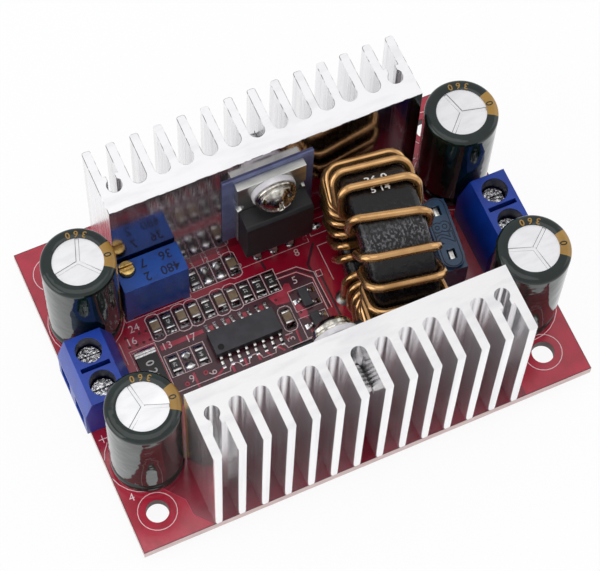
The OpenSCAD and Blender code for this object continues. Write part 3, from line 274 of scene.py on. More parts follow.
# Its light second colour is a painted highlight: glare on the coat, kept to a band below.
core_coat = finish("core_coating_painted_glare", tone(10, 9, 12), tone(98, 97, 101),
                   ((3.4, 2.4, 2.8), 5, 0.49, 0.63), (0.2, 0.4), (1.5, 4, 0.45, 0.7), bump=1.6,
                   specular_ior_level=0.36)
pad_film = finish("insulating_sheet", tone(106, 113, 152), tone(92, 98, 136), CLOUDS, (0.4, 0.5),
                  FINE, bump=0.1)
nylon = finish("bushing_nylon", tone(222, 220, 222), tone(202, 199, 204), CLOUDS, (0.36, 0.5),
               FINE, bump=0.1)
rubber = finish("seal_rubber", tone(40, 40, 42), tone(30, 30, 32), CLOUDS, (0.6, 0.75), FINE,
                bump=0.2)
film = finish("sleeve_film", tone(10, 30, 26), tone(8, 22, 19), CLOUDS, (0.06, 0.1),
              (0.35, 2, 0.3, 0.7), bump=1.8)
gold_print = finish("sleeve_print", tone(154, 117, 49), tone(145, 110, 46), CLOUDS, (0.16, 0.24),
                    FINE)
resistor_black = finish("resistor_glaze", tone(34, 33, 34), tone(24, 24, 25), CLOUDS,
                        (0.3, 0.42), FINE, bump=0.1)
ceramic = finish("capacitor_ceramic", tone(150, 128, 100), tone(128, 108, 84),
                 (1.5, 3, 0.4, 0.65), (0.36, 0.5), FINE, bump=0.15)
print("plastics, film and ceramic made")

# %% Board and ink
THIN_RIPPLE, BROAD_RIPPLE = (3.0, 2, 0.3, 0.7), (2.0, 2, 0.3, 0.7)
lacquer = finish("lacquer_on_laminate", tone(84, 44, 54), tone(74, 36, 46), CLOUDS, (0.16, 0.24),
                 THIN_RIPPLE, bump=0.06)
lacquer_red = finish("lacquer_on_copper", tone(174, 22, 52), tone(160, 17, 45), CLOUDS,
                     (0.14, 0.22), BROAD_RIPPLE, bump=0.06, specular_ior_level=0.85)
# Painted shade: a darker copy of the red lacquer, for the board under and beside the front
# heatsink.
lacquer_painted_shade = finish("lacquer_in_shade", tone(132, 20, 44), tone(120, 16, 38), CLOUDS,
                      (0.14, 0.22), BROAD_RIPPLE, bump=0.06, specular_ior_level=0.85)
lacquer_pink = finish("lacquer_on_trace", tone(190, 62, 84), tone(172, 44, 66), CLOUDS,
                      (0.16, 0.24), THIN_RIPPLE, bump=0.06)
via_shade = finish("lacquer_in_via", tone(84, 8, 24), tone(72, 6, 20), CLOUDS, (0.3, 0.4), FINE)
# Painted shade: a dark brown for the walls inside the drilled holes.
drilled_wall_painted_shade = finish("drilled_wall_painted_shade", tone(96, 66, 62), tone(70, 46, 44), CLOUDS, (0.5, 0.6),
                      FINE)
laminate = finish("sheared_laminate", tone(226, 206, 202), tone(196, 168, 164),
                  ((0.3, 0.3, 9), 3, 0.4, 0.65), (0.6, 0.8), (6, 3, 0.3, 0.7), bump=0.4)
DRY_INK = (0.5, 0.62)
print_ink = finish("printed_lines", tone(238, 214, 216), tone(222, 190, 194), (2.5, 3, 0.4, 0.7),
                   DRY_INK, FINE)
white_ink = finish("printed_numbers", tone(220, 218, 214), tone(196, 194, 190),
                   (4.0, 3, 0.4, 0.7), DRY_INK, FINE)
dark_ink = finish("dark_numbers", tone(10, 24, 64), tone(8, 20, 54), (4.0, 3, 0.4, 0.7), DRY_INK,
                  FINE)
print("board and ink made")

# %% [markdown]
# ## Painted glare and threads
# Two finishes depend on the place along one axis. The core's light second colour is a painted
# highlight, the glare of a lamp on its bumpy coat, kept to a band across it. A real thread on a
# screw two millimetres thick would need thousands of faces and is seen only in a gap between fins,
# so even ridges in the bump along the screw's axis stand for it.

# %% Core with painted glare, and ridged metal
def along(tree, axis):
    """The place along one axis of the shared frame."""
    place = add_node(tree, "TexCoord")
    return add_node(tree, "SeparateXYZ", {0: place.outputs["Object"]}).outputs[axis]


def glare_band(material, middle, inner, outer):
    """Keep a finish's second colour to a band across Y that fades from inner to outer."""
    tree = material.node_tree
    mixed = next(n for n in tree.nodes if n.type == "MIX")
    glare_mask = mixed.inputs[0].links[0].from_socket
    off = add_node(tree, "Math", {0: along(tree, "Y"), 1: middle * MM}, operation="SUBTRACT")
    gap = add_node(tree, "Math", {0: off.outputs[0]}, operation="ABSOLUTE")
    band = add_node(tree, "MapRange", {"Value": gap.outputs[0], "From Min": inner * MM,
                                       "From Max": outer * MM, "To Min": 1.0, "To Max": 0.0})
    both = add_node(tree, "Math", {0: glare_mask, 1: band.outputs["Result"]}, operation="MULTIPLY")
    tree.links.new(both.outputs[0], mixed.inputs[0])


THREAD_PITCH, THREAD_DEPTH = 0.6, 0.12


def ridged(name, axis):
    material = finish(name, tone(228, 227, 226), tone(190, 188, 186), (1.2, 3, 0.5, 0.7),
                      (0.2, 0.3), FINE, metallic=1.0)
    tree = material.node_tree
    turns = add_node(tree, "Math", {0: along(tree, axis), 1: math.tau / (THREAD_PITCH * MM)},
                     operation="MULTIPLY")
    ridge = add_node(tree, "Math", {0: turns.outputs[0]}, operation="SINE")
    raised = add_node(tree, "Bump", {"Height": ridge.outputs[0], "Strength": 0.7,
                                     "Distance": THREAD_DEPTH * MM})
    tree.links.new(raised.outputs["Normal"], tree.nodes["Principled BSDF"].inputs["Normal"])
    return material


# The core's light blotches are a painted highlight, kept to the band where the glare falls.
glare_band(core_coat, middle=-4.3, inner=0.4, outer=2.6)
upright_thread = ridged("upright_thread", "Z")
level_thread = ridged("level_thread", "Y")
print("painted_glare and threads made")

# %% [markdown]
# ## Nodes whose shape is right
# Most CAD solids only need eased edges and their finish. The radius follows the real piece: a
# quarter of a millimetre on mouldings, a few hundredths on small chips. Pieces that stay inside
# others keep their solid and take the finish alone.

# %% Eased pieces
EASED = (
    ("fuse_housing", "fuse_plastic", 0.3, fuse_blue), ("fuse_blades", "tin", 0.05, tin),
    ("trimmer_body", "trimmer_plastic", 0.22, trimmer_blue),
    ("mosfet_body", "epoxy", 0.18, package_epoxy), ("diode_body", "epoxy", 0.18, package_epoxy),
    ("mosfet_leadframe", "tin", 0.1, tab_plating), ("diode_leadframe", "tin", 0.1, tab_plating),
    ("mosfet_pad", "insulating_pad", 0.06, pad_film),
    ("diode_pad", "insulating_pad", 0.06, pad_film),
    ("mosfet_bushing", "bushing", 0.12, nylon), ("diode_bushing", "bushing", 0.12, nylon),
    ("tab_washers", "screw_steel", 0.08, chrome), ("controller_pins", "tin", 0.04, tin),
    ("chip_resistors", "resistor", 0.05, resistor_black),
    ("chip_capacitors", "ceramic", 0.08, ceramic), ("chip_ends", "tin", 0.06, tin),
    ("small_transistors", "epoxy", 0.08, epoxy), ("transistor_leads", "tin", 0.04, tin),
    ("solder_joints", "solder", 0.06, dull_solder_painted_shade),
)
for node, slot, radius, material in EASED:
    shape = merged_copy(node)
    ease(shape, radius)
    add_piece(node + "_eased", shape, [material], stands_for=(node,))

# %% Screws that turn, and pieces that stay inside
for pole in ("input_screw_front", "input_screw_rear", "output_screw_front", "output_screw_rear",
             "trimmer_screw"):
    shape = merged_copy(pole)
    ease(shape, 0.1)
    metal, slot = (brass, "trimmer_brass") if pole == "trimmer_screw" else (spangle, "screw_steel")
    add_piece(pole + "_eased", shape, [metal], body=pole, stands_for=(pole,))

PLAIN = {"capacitor_bungs": rubber, "capacitor_leads": tin, "trimmer_pins": tin,
         "input_contacts": tin, "output_contacts": tin, "input_clamp_front": tin,
         "input_clamp_rear": tin, "output_clamp_front": tin, "output_clamp_rear": tin}
for node, material in PLAIN.items():
    nodes[node].data.materials.clear()
    nodes[node].data.materials.append(material)
print(len(PLAIN), "solids keep their shape")

# %% [markdown]
# ## Pieces with more than one finish
# A screw is ridged only along its shank, a terminal's wells take a darker copy of its plastic as
# painted shade, and the sheared sides of the board differ from its lacquered faces. Splitting such
# a body into separate pieces would leave open seams, so it stays whole: the direction and the
# place of each face tell which finish it takes.

# %% Screws and terminals
def paint(bm, choose):
    """Give each face the finish whose number choose returns for the face and its centre."""
    for face in bm.faces:
        face.material_index = choose(face, face.calc_center_median())


SCREWS = (("mosfet_screw", lambda c: c.y < 11.2, level_thread),
          ("diode_screw", lambda c: c.y > -12.4, level_thread),
          ("heatsink_screws", lambda c: c.z < 1.75, upright_thread))
for node, in_head, thread in SCREWS:
    shape = merged_copy(node)
    ease(shape, 0.12)
    paint(shape, lambda face, centre: int(not in_head(centre)))
    add_piece(node + "_eased", shape, [chrome, thread], stands_for=(node,))

TERMINALS, HALF_PITCH = ((-30.45, 0), (30.45, -0.2)), 2.54
POLES = [(x, y + s * HALF_PITCH) for x, y in TERMINALS for s in (-1, 1)]
WELL_R, WELL_TOP = 1.88, TOP + 9.4


def in_well(centre):
    return centre.z < WELL_TOP and any(math.dist(centre[:2], pole) < WELL_R for pole in POLES)


for node in ("input_terminal_housing", "output_terminal_housing"):
    shape = merged_copy(node)
    ease(shape, 0.16)
    # Faces inside a well take the painted shade.
    paint(shape, lambda face, centre: int(in_well(centre)))
    add_piece(node + "_eased", shape, [terminal_blue, painted_well_shade],
              stands_for=(node,))

# %% Controller with its dimple, sense resistor with bare ends
DIMPLE, DIMPLE_R, DIMPLE_Z, DIMPLE_AREA = (-12.6, -1.1), 0.46, TOP + 1.3, 0.8
shape = merged_copy("controller_chip")
ease(shape, 0.05)
# The floor of the dimple takes the painted shade.
paint(shape, lambda face, centre: int(math.dist(centre[:2], DIMPLE) < DIMPLE_R
                                      and centre.z > DIMPLE_Z
                                      and face.calc_area() < DIMPLE_AREA))
add_piece("controller_chip_eased", shape, [epoxy, dimple_shade],
          stands_for=("controller_chip",), smooth=15)


def slice_across(bm, point, direction, drop=False):
    """Cut all faces along a plane; what lies beyond it may be dropped."""
    bmesh.ops.bisect_plane(bm, geom=bm.verts[:] + bm.edges[:] + bm.faces[:], dist=0.0001,
                           plane_co=point, plane_no=direction, clear_outer=drop)


SENSE_Y, SENSE_BARE = -0.1, 2.35
shape = merged_copy("sense_resistor")
ease(shape, 0.06)
for s in (-1, 1):
    slice_across(shape, (0, SENSE_Y + s * SENSE_BARE, 0), (0, s, 0))
paint(shape, lambda face, centre: int(abs(centre.y - SENSE_Y) > SENSE_BARE))
add_piece("sense_resistor_eased", shape, [resistor_black, solder],
          stands_for=("sense_resistor",))

# %% [markdown]
# ## Heatsinks, cans and board
# A heatsink is a length of extrusion: a mirror-like back, satin fins, sawn ends that point up and
# down, and on the rear one light and dark blotches along the eased rim of the cut. The rear one
# takes a lighter copy of the sawn finish on its ends, which is painted light, and a darker copy of
# the fin finish, which is painted shade. The cans have a vent scored into their tops; a thin inset
# along each score is painted shade, the dark rim of a pressed groove. The board shows its laminate
# where it was sheared, and the walls of its drilled holes take a painted shade.

# %% Heatsinks by the direction of their faces
BACK, CUT, FIN, RIM = range(4)
SINKS = (("front_heatsink", -14.2, 1, [extruded, sawn, fin_satin, sawn]),
         ("rear_heatsink", 13.0, -1, [extruded, sawn_painted_light, fin_painted_shade, dark_blotched_rim]))


def sink_face(face, centre, back_y, way):
    if 0.2 < face.normal.z < 0.97:
        return RIM
    if abs(face.normal.z) > 0.6:
        return CUT
    return BACK if face.normal.y * way > 0.9 and abs(centre.y - back_y) < 0.2 else FIN


for node, back_y, way, materials in SINKS:
    shape = merged_copy(node)
    ease(shape, 0.12, least=50)
    paint(shape, lambda face, centre: sink_face(face, centre, back_y, way))
    add_piece(node + "_eased", shape, materials, stands_for=(node,))

# %% Scored cans and the board
SCORE_LOW, SCORE_HIGH = TOP + 19.5, TOP + 19.78
shape = merged_copy("capacitor_cans")
grooves = [f for f in shape.faces if f.normal.z > 0.9
           and SCORE_LOW < f.calc_center_median().z < SCORE_HIGH]
# The inset rim along each groove takes the painted shade.
rims = bmesh.ops.inset_region(shape, faces=grooves, thickness=0.1, use_even_offset=False)["faces"]
for face in rims:
    face.material_index = 1
add_piece("scored_cans", shape, [can_metal, score_shade], stands_for=("capacitor_cans",))

UPPER, SHEARED, UNDER, DRILLED = range(4)
INNER_X, INNER_Y = 33, 23


def board_face(face, centre):
    if abs(face.normal.z) < 0.5:
        return DRILLED if abs(centre.x) < INNER_X and abs(centre.y) < INNER_Y else SHEARED
    return UPPER if face.normal.z > 0 else UNDER


# The walls of drilled holes take the painted shade.
shape = merged_copy("circuit_board")
paint(shape, board_face)
add_piece("board_laminate", shape, [lacquer, laminate, lacquer_red, drilled_wall_painted_shade],
          stands_for=("circuit_board",))

# %% [markdown]
# ## The wound core
# The core is a ring with a rounded section, spun in one turn. The wire is one path that passes the
# hole twenty times; a curve with a round bevel follows it, which keeps the wire's thickness even
# where a chain of cylinders would kink. The curve is made a mesh before it is placed.

# %% Core
CORE_R, HOLE_R, CORE_W, CORE_ROUND = 11.7, 6.9, 9.2, 1.2
COIL_Z = 16.26
COIL = Matrix.Translation((11.8, -0.6, COIL_Z)) @ Matrix.Rotation(math.radians(-7), 4, "Z")

shape = bmesh.new()
middle, half = (CORE_R + HOLE_R) / 2, (CORE_R - HOLE_R) / 2
ring = [shape.verts.new((x, middle + y, 0)) for x, y in (
    (-CORE_W / 2, -half), (CORE_W / 2, -half), (CORE_W / 2, half), (-CORE_W / 2, half))]
shape.faces.new(ring)
bmesh.ops.bevel(shape, geom=ring, offset=CORE_ROUND, offset_type="OFFSET", segments=6,
                profile=0.5, affect="VERTICES", material=-1)
bmesh.ops.delete(shape, geom=list(shape.faces), context="FACES_ONLY")
bmesh.ops.spin(shape, geom=list(shape.verts) + list(shape.edges), axis=(1, 0, 0),
               cent=(0, 0, 0), angle=math.tau, steps=96, use_merge=True)
bmesh.ops.remove_doubles(shape, verts=shape.verts, dist=0.001)
bmesh.ops.recalc_face_normals(shape, faces=shape.faces)
shape.transform(COIL)
add_piece("core_ring", shape, [core_coat], stands_for=("inductor_core",), smooth=60)

# %% The path of the wire
LOOP_SIDE, LOOP_IN, LOOP_OUT, LOOP_R = 5.26, 6.24, 12.36, 1.86
STEPS = 8
CORNER_TURN = (0.2, 0.4, 0.6, 0.8)
LOOPS, FIRST_LOOP = 19, -9.5
COIL_TURN, HALF_SPREAD, CROWDING = -5, 175, 0.85
LEAD_Z = 0.5


def coil_angle(u):
    """Degrees around the core, u turns from the middle; turns crowd towards the ends."""
    return COIL_TURN - math.copysign(HALF_SPREAD * (abs(u) / 10) ** CROWDING, u)


def corner(c, u):
    """Points around one corner of the loop that starts u turns from the middle of the wire."""
    points = []
    for j in range(STEPS + 1):
        turn = math.radians(-90 * (c + 1) - 90 * j / STEPS)
        share = CORNER_TURN[c] + (j / STEPS - 0.5) * 0.1
        side = -(LOOP_SIDE - LOOP_R) if c < 2 else LOOP_SIDE - LOOP_R
        rho = LOOP_IN + LOOP_R if c in (0, 3) else LOOP_OUT - LOOP_R
        points.append((side + LOOP_R * math.cos(turn), rho + LOOP_R * math.sin(turn),
                       math.radians(coil_angle(u + share))))
    return [Vector((a, r * math.sin(phi), r * math.cos(phi))) for a, r, phi in points]


first = corner(3, FIRST_LOOP - 1)
last = corner(0, FIRST_LOOP + LOOPS)
path = [Vector((first[0].x, first[0].y, LEAD_Z - COIL_Z))] + first
for turn in range(LOOPS):
    for c in range(4):
        path += corner(c, turn + FIRST_LOOP)
path += last + [Vector((last[-1].x, last[-1].y, LEAD_Z - COIL_Z))]
print("wire path of", len(path), "points")


# %% Wire
def baked(curve):
    """The shape of a curve; the curve itself is removed again."""
    holder = bpy.data.objects.new(curve.name, curve)
    bpy.context.scene.collection.objects.link(holder)
    mesh = bpy.data.meshes.new_from_object(holder.evaluated_get(
        bpy.context.evaluated_depsgraph_get()))
    bpy.data.objects.remove(holder)
    bpy.data.curves.remove(curve)
    bm = bmesh.new()
    bm.from_mesh(mesh)
    bpy.data.meshes.remove(mesh)
    return bm


def add_splines(curve, lines, closed):
    for line in lines:
        spline = curve.splines.new("POLY")
        spline.points.add(len(line) - 1)
        for point, place in zip(spline.points, line):
            point.co = (*place, 1)
        spline.use_cyclic_u = closed


def round_bars(name, lines, radius, rounds, closed=False):
    """Round bars, each following a list of points."""
    curve = bpy.data.curves.new(name, "CURVE")
    curve.dimensions = "3D"
    curve.bevel_depth, curve.bevel_resolution, curve.use_fill_caps = radius, rounds, True
    add_splines(curve, lines, closed)
    return baked(curve)


WIRE_R = 0.6
shape = round_bars("wire", [path], WIRE_R, 5)
shape.transform(COIL)
add_piece("wound_wire", shape, [enamel], stands_for=("inductor_winding",), smooth=60)

# %% [markdown]
# ## Capacitor sleeves
# The film is shrunk over the can and follows it: a crimped groove low down, a rounded shoulder and
# a lip that lies on the top. The profile is spun in one turn. A sector of the film carries a
# printed stripe, so the faces of that sector take a second finish.

# %% Spun sleeves
CAPACITORS = ((-28.05, -11.65), (-28.05, 10.7), (28.4, 10.7), (28.4, -11.65))
STRIPE_HALF = math.radians(24)
STRIPES = [math.radians(turn) for turn in (-5, -9, -5, -13)]
PROFILE = ((4.98, 0.95), (5.125, 0.98), (5.125, 1.8), (5.0, 2.1), (4.7, 2.55), (4.7, 2.65),
           (5.0, 3.1), (5.125, 3.4), (5.125, 19.2), (5.09, 19.5), (4.96, 19.74), (4.72, 19.92),
           (4.4, 20.0), (3.6, 20.0), (3.5, 19.96), (3.48, 19.82))
shape = bmesh.new()
for x, y in CAPACITORS:
    profile = [shape.verts.new((r, 0, z)) for r, z in PROFILE]
    edges = [shape.edges.new(pair) for pair in zip(profile, profile[1:])]
    bmesh.ops.spin(shape, geom=profile + edges, axis=(0, 0, 1), cent=(0, 0, 0),
                   angle=math.tau, steps=96, use_merge=True)
    turned = [v for v in shape.verts if not v.tag]
    bmesh.ops.translate(shape, verts=turned, vec=(x, y, TOP))
    for v in turned:
        v.tag = True
bmesh.ops.remove_doubles(shape, verts=shape.verts, dist=0.001)
bmesh.ops.recalc_face_normals(shape, faces=shape.faces)


def in_stripe(face, centre):
    (x, y), turn = min(zip(CAPACITORS, STRIPES), key=lambda c: math.dist(c[0], centre[:2]))
    return int(abs(math.atan2(centre.y - y, centre.x - x) - turn) < STRIPE_HALF)


paint(shape, in_stripe)
add_piece("film_sleeves", shape, [film, gold_print], stands_for=("capacitor_sleeves",))

# %% [markdown]
# ## Copper under the lacquer
# Poured copper and traces lie a few hundredths of a millimetre above the laminate and show as a
# brighter red with a soft step. A filled flat curve gives such an area with its holes; a little
# extrusion gives the step. The rows of small chips stand on bare laminate. Vias, the holes that
# join both sides, are small rings that are flattened, some with a rim and some plugged.

# %% Broad areas of copper
def flat_area(outlines, low, high):
    """A slab between two heights; an outline inside another one is a hole."""
    curve = bpy.data.curves.new("area", "CURVE")
    curve.dimensions, curve.fill_mode, curve.extrude = "2D", "BOTH", (high - low) / 2
    add_splines(curve, [[(x, y, 0) for x, y in line] for line in outlines], True)
    bm = baked(curve)
    bmesh.ops.remove_doubles(bm, verts=bm.verts, dist=0.0005)
    bmesh.ops.recalc_face_normals(bm, faces=bm.faces)
    bmesh.ops.translate(bm, verts=bm.verts, vec=(0, 0, (low + high) / 2))
    return bm


def circle(x, y, r, steps):
    return [(x + r * math.cos(k * math.tau / steps), y + r * math.sin(k * math.tau / steps))
            for k in range(steps)]


COPPER = TOP + 0.035
MOUNTS, MOUNT_R = [(x, y) for x in (-29.75, 28.55) for y in (-19.15, 19.15)], 1.62
POUR = [(-33.6, -23.9), (33.6, -23.9), (33.6, 23.9), (-33.6, 23.9)]
BARE = [(-20.6, -6.4), (3.5, -6.4), (3.5, 4.0), (1.9, 5.55), (-0.98, 5.65), (-0.98, 7.55),
        (-20.6, 7.55)]
BARE_ROW = [(-12.9, 8.65), (-5.0, 8.65), (-5.0, 12.15), (-12.9, 12.15)]
holes = [circle(x, y, MOUNT_R, 40) for x, y in MOUNTS]
shape = flat_area([POUR, BARE, BARE_ROW] + holes, TOP, COPPER)
add_piece("copper_pour", shape, [lacquer_red])

CORNER = [(-27.85, -16.44), (-25.6, -19.15), (-25.45, -21.55), (-23.44, -23.9)]
UNDER_SINK = CORNER + [(23.6, -23.9), (23.6, -14.0), (-22.0, -14.0), (-22.0, -8.0), (-26.0, -8.0)]
# The board under and beside the front heatsink takes the painted shade.
shape = flat_area([UNDER_SINK], TOP, COPPER + 0.004)
add_piece("copper_under_sink", shape, [lacquer_painted_shade])

# %% Small areas of copper
PATCHES = ([(-3.35, 3.75), (-1.2, 4.0), (-0.4, 4.8), (0.25, 4.6), (0.3, 3.3), (-0.5, 3.1),
            (-0.8, 1.9), (-2.7, 2.15)],
           [(-0.4, 1.7), (0.15, 1.5), (0.55, 0.5), (1.0, 0.0), (0.6, -1.4), (-0.45, -0.95),
            (-0.4, 0.6)],
           [(-20.2, 3.0), (-13.7, 3.0), (-13.7, 2.4), (-20.2, 2.2)])
shape = flat_area(PATCHES, TOP, COPPER + 0.006)
add_piece("copper_patches", shape, [lacquer_pink])

CHIP_X, CHIP_Y, PIN_STEP = -8.65, -0.15, 1.27
LAND_Y, LAND_SIZE = 2.55, Matrix.Diagonal((0.62, 1.0, COPPER - TOP, 1))
shape = bmesh.new()
for k in (-3, -1, 1, 3):
    middle = (CHIP_X + k * PIN_STEP, LAND_Y, (TOP + COPPER) / 2)
    bmesh.ops.create_cube(shape, size=1, matrix=Matrix.Translation(middle) @ LAND_SIZE)
add_piece("copper_between_pins", shape, [lacquer_red])


# %% Gaps, traces and vias
def flat_lines(lines, width, low, high):
    """Round bars along lists of points, pressed flat between two heights."""
    bm = round_bars("lines", [[(x, y, 0) for x, y in line] for line in lines], width / 2, 2)
    bmesh.ops.scale(bm, vec=(1, 1, (high - low) / width), verts=bm.verts)
    bmesh.ops.translate(bm, vec=(0, 0, (low + high) / 2), verts=bm.verts)
    return bm


GAPS = ([(-1.0, 6.2), (2.1, 6.1), (4.0, 4.4), (4.0, -1.0)], [(4.0, 4.4), (3.9, 6.2), (6.0, 9.0)],
        [(4.9, 4.4), (4.9, -3.0)], [(-2.0, 9.2), (-1.9, 7.8)])
shape = flat_lines(GAPS, 0.5, TOP, COPPER + 0.01)
add_piece("gaps_in_copper", shape, [lacquer])

TRACES = ([(-15.0, -4.6), (-13.3, -3.6)], [(-12.0, -4.7), (-12.0, -3.4)],
          [(-10.1, -4.6), (-10.0, -3.4)], [(-8.05, -4.5), (-8.05, -3.4)],
          [(-6.3, -4.6), (-6.9, -3.4)], [(-1.8, -4.6), (-1.65, -2.3)],
          [(0.3, -4.6), (0.35, -3.1)], [(-17.4, -4.9), (-17.4, -2.5)],
          [(-5.2, -3.4), (-4.3, -4.5)])
shape = flat_lines(TRACES, 0.34, TOP - 0.02, COPPER)
add_piece("thin_traces", shape, [lacquer_pink])

RINGED = ((-18.8, -3.75), (-15.8, -3.2), (-3.2, -2.9), (5.2, 10.1), (25.4, 3.4), (24.8, -6.4))
PLUGGED = ((-23.48, 7.55), (-24.02, 4.42), (-22.95, 4.4), (-21.95, 4.37), (-20.95, 4.4),
           (-24.04, 5.94), (-22.0, 5.85), (-21.0, 5.85), (-2.5, 2.95), (0, 3.0), (0, -0.15))
VIA_RIM, VIA_FLAT = 0.1, 0.3
for name, vias, radius, material in (("vias", RINGED, 0.28, lacquer_pink),
                                     ("plugged_vias", PLUGGED, 0.12, via_shade)):
    rounds = [[(*p, 0) for p in circle(x, y, radius, 16)] for x, y in vias]
    shape = round_bars(name, rounds, VIA_RIM, 2, closed=True)
    bmesh.ops.scale(shape, vec=(1, 1, VIA_FLAT), verts=shape.verts)
    bmesh.ops.translate(shape, vec=(0, 0, COPPER), verts=shape.verts)
    add_piece(name, shape, [material])

# %% [markdown]
# ## Printing on the board
# Thin lines frame the place of every part: boxes for resistors, boxes with rounded ends for
# capacitors, rings for screw heads and cans. They are bars pressed flat, which lets lines cross
# without trouble. Where the real board has names, plain numbers stand instead.

# %% Outlines of the printed marks
PITCH = 1.96
SIDE = PITCH / 2


def cell(x, y, half, cut):
    """Printed ends and right side of one chip's place; the cut rounds a capacitor's ends."""
    end = ((SIDE, half - 0.4), (SIDE, half))
    if cut:
        end = (SIDE, half - cut), (0.75, half + 0.2 - cut / 2), (0.4, half + 0.36 - 0.4 * cut)
    arc = [(-a, b) for a, b in end] + [(a, b) for a, b in reversed(end)]
    lines = [[(x + a, y + s * b) for a, b in arc] for s in (-1, 1)]
    reach = half - max(cut, 0.1)
    return lines + [[(x + SIDE, y - reach), (x + SIDE, y + reach)]]


def box(x0, y0, x1, y1):
    return [(x0, y0), (x1, y0), (x1, y1), (x0, y1), (x0, y0)]


def bow(x, y, r, first, last):
    """Points of an arc from one angle to another, in degrees."""
    return [(x + r * math.cos(math.radians(a)), y + r * math.sin(math.radians(a)))
            for a in range(first, last, 15 if last > first else -15)]


def loop(x, y, r):
    return bow(x, y, r, 0, 375)


A_START, B_START, C_START = (-19.6, 5.8), (-11.9, 10.4), (-19.3, -0.4)
ROW_A = [(A_START[0] + PITCH * k, A_START[1], k in (0, 2, 3, 5, 6)) for k in range(10)]
ROW_B = [(B_START[0] + PITCH * k, B_START[1], k == 3) for k in range(4)]
ROW_C = [(C_START[0] + PITCH * k, C_START[1]) for k in range(3)]
LONE = (-2.1, -0.3)
PRINT = [line for x, y, cut in ROW_A + ROW_B for line in cell(x, y, 1.75, 0.1 * cut)]
PRINT += [line for x, y in ROW_C for line in cell(x, y, 1.7, 0)] + cell(*LONE, 1.75, 0.4)
PRINT += [[(x - SIDE, y - 1.65), (x - SIDE, y + 1.65)] for x, y in (A_START, B_START, C_START)]
print(len(PRINT), "lines around the small chips")

# %% Printed lines
WAVE = [(-20.4, -4.35)]
for x, r in ((-11.6, 0.9), (-8.6, 1.0), (-4.7, 0.9)):
    WAVE += bow(x, -4.35, r, 180, -15)
PRINT += [[(-3.08, -1.65), (-3.08, 1.05)], box(-0.5, 0.05, 3.4, 3.4), box(-0.7, -4.2, 3.3, -1.0),
          box(-24.4, -3.6, -20.6, 3.8), [(-25.2, 5.6), (-25.2, 2.1)],
          [(-23.1, 11.6), (-23.1, 8.1), (-13.2, 8.1), (-13.2, 12.8)],
          [(-10.8, 14.1), (-5.4, 14.1), (-5.6, 9.35), (5.5, 9.35), (5.5, 10.8)],
          [(6.3, 2.6), (6.3, 8.3), (8.9, 8.3)],
          [(-0.9, 6.6), (2.25, 6.5), (4.2, 4.8), (4.35, -1.2)],
          [(-1.2, 5.85), (1.9, 5.75), (3.7, 4.05), (3.7, -1.2)], box(4.4, 3.9, 5.2, 4.8),
          [(6.1, 10.0), (6.1, 12.3), (9.9, 12.3), (9.9, 10.0), (6.1, 10.0)], loop(-5.1, 9.9, 0.3),
          [(25.2, 7.2), (25.2, 2.0)], [(23.4, -5.2), (23.4, 5.2)],
          [(-33.2, -6.6), (-32.0, -6.6)], [(-32.6, -7.2), (-32.6, -6.0)],
          [(-33.2, 6.4), (-32.0, 6.4)], WAVE + [(0.6, -4.35)]]
RINGS = [loop(x, y, 2.7) for x, y in MOUNTS] + [loop(x, y, 5.35) for x, y in CAPACITORS[1:]]
RINGS += [loop(-28.56, -11.0, 5.2)]


def join(bm, other):
    """Add another shape to this one."""
    carrier = bpy.data.meshes.new("carrier")
    other.to_mesh(carrier)
    other.free()
    bm.from_mesh(carrier)
    bpy.data.meshes.remove(carrier)


LINE_W, RING_W, INK_LOW, INK_HIGH = 0.145, 0.12, TOP - 0.01, COPPER + 0.02
PRINT_END = 33.55
shape = flat_lines(PRINT, LINE_W, INK_LOW, INK_HIGH)
join(shape, flat_lines(RINGS, RING_W, INK_LOW, INK_HIGH))
for s in (-1, 1):
    slice_across(shape, (s * PRINT_END, 0, 0), (s, 0, 0), drop=True)
add_piece("printed_lines", shape, [print_ink])

shape = flat_lines([CORNER, [(-x, -y) for x, y in CORNER]], RING_W, TOP, COPPER + 0.014)
add_piece("corner_lines", shape, [lacquer_pink])

# %% [markdown]
# ## Plain numbers
# Chips, sleeves, trimmer, fuse and core carry marks. Each number here is a text curve that is made
# a mesh before it is moved to its place; cutting it in would be more than such thin ink needs.
# The fuse's number is moulded, so only its outline is drawn, as a thin raised bar; that bar and a
# bar along the plateau's edge are dark with painted shade, for the shadows at the edges of the
# relief.

# %% Printed numbers
DIGIT_SHARE = 0.72  # a digit's height as a share of the font's size


def number(text, height, thick, place, bold=0.02, ridge=0.0):
    """A number of the given height, moved from the flat by a matrix; a ridge draws only its
    outline, as a round bar of that radius."""
    curve = bpy.data.curves.new("number", "FONT")
    curve.body, curve.size, curve.extrude = text, height / DIGIT_SHARE, thick / 2
    curve.align_x, curve.align_y, curve.resolution_u = "CENTER", "CENTER", 3
    curve.offset = bold * height
    if ridge:
        curve.fill_mode = "NONE"
        curve.bevel_depth, curve.bevel_resolution = ridge, 1
    bm = baked(curve)
    bm.transform(place)
    return bm


def add_numbers(name, rows, thick, material, bold=0.02):
    """Rows hold the text, its height, its middle and its turn about the vertical in degrees."""
    bm = bmesh.new()
    for text, height, place, turn in rows:
        spot = Matrix.Translation(place) @ Matrix.Rotation(math.radians(turn), 4, "Z")
        join(bm, number(text, height, thick, spot, bold))
    add_piece(name, bm, [material])


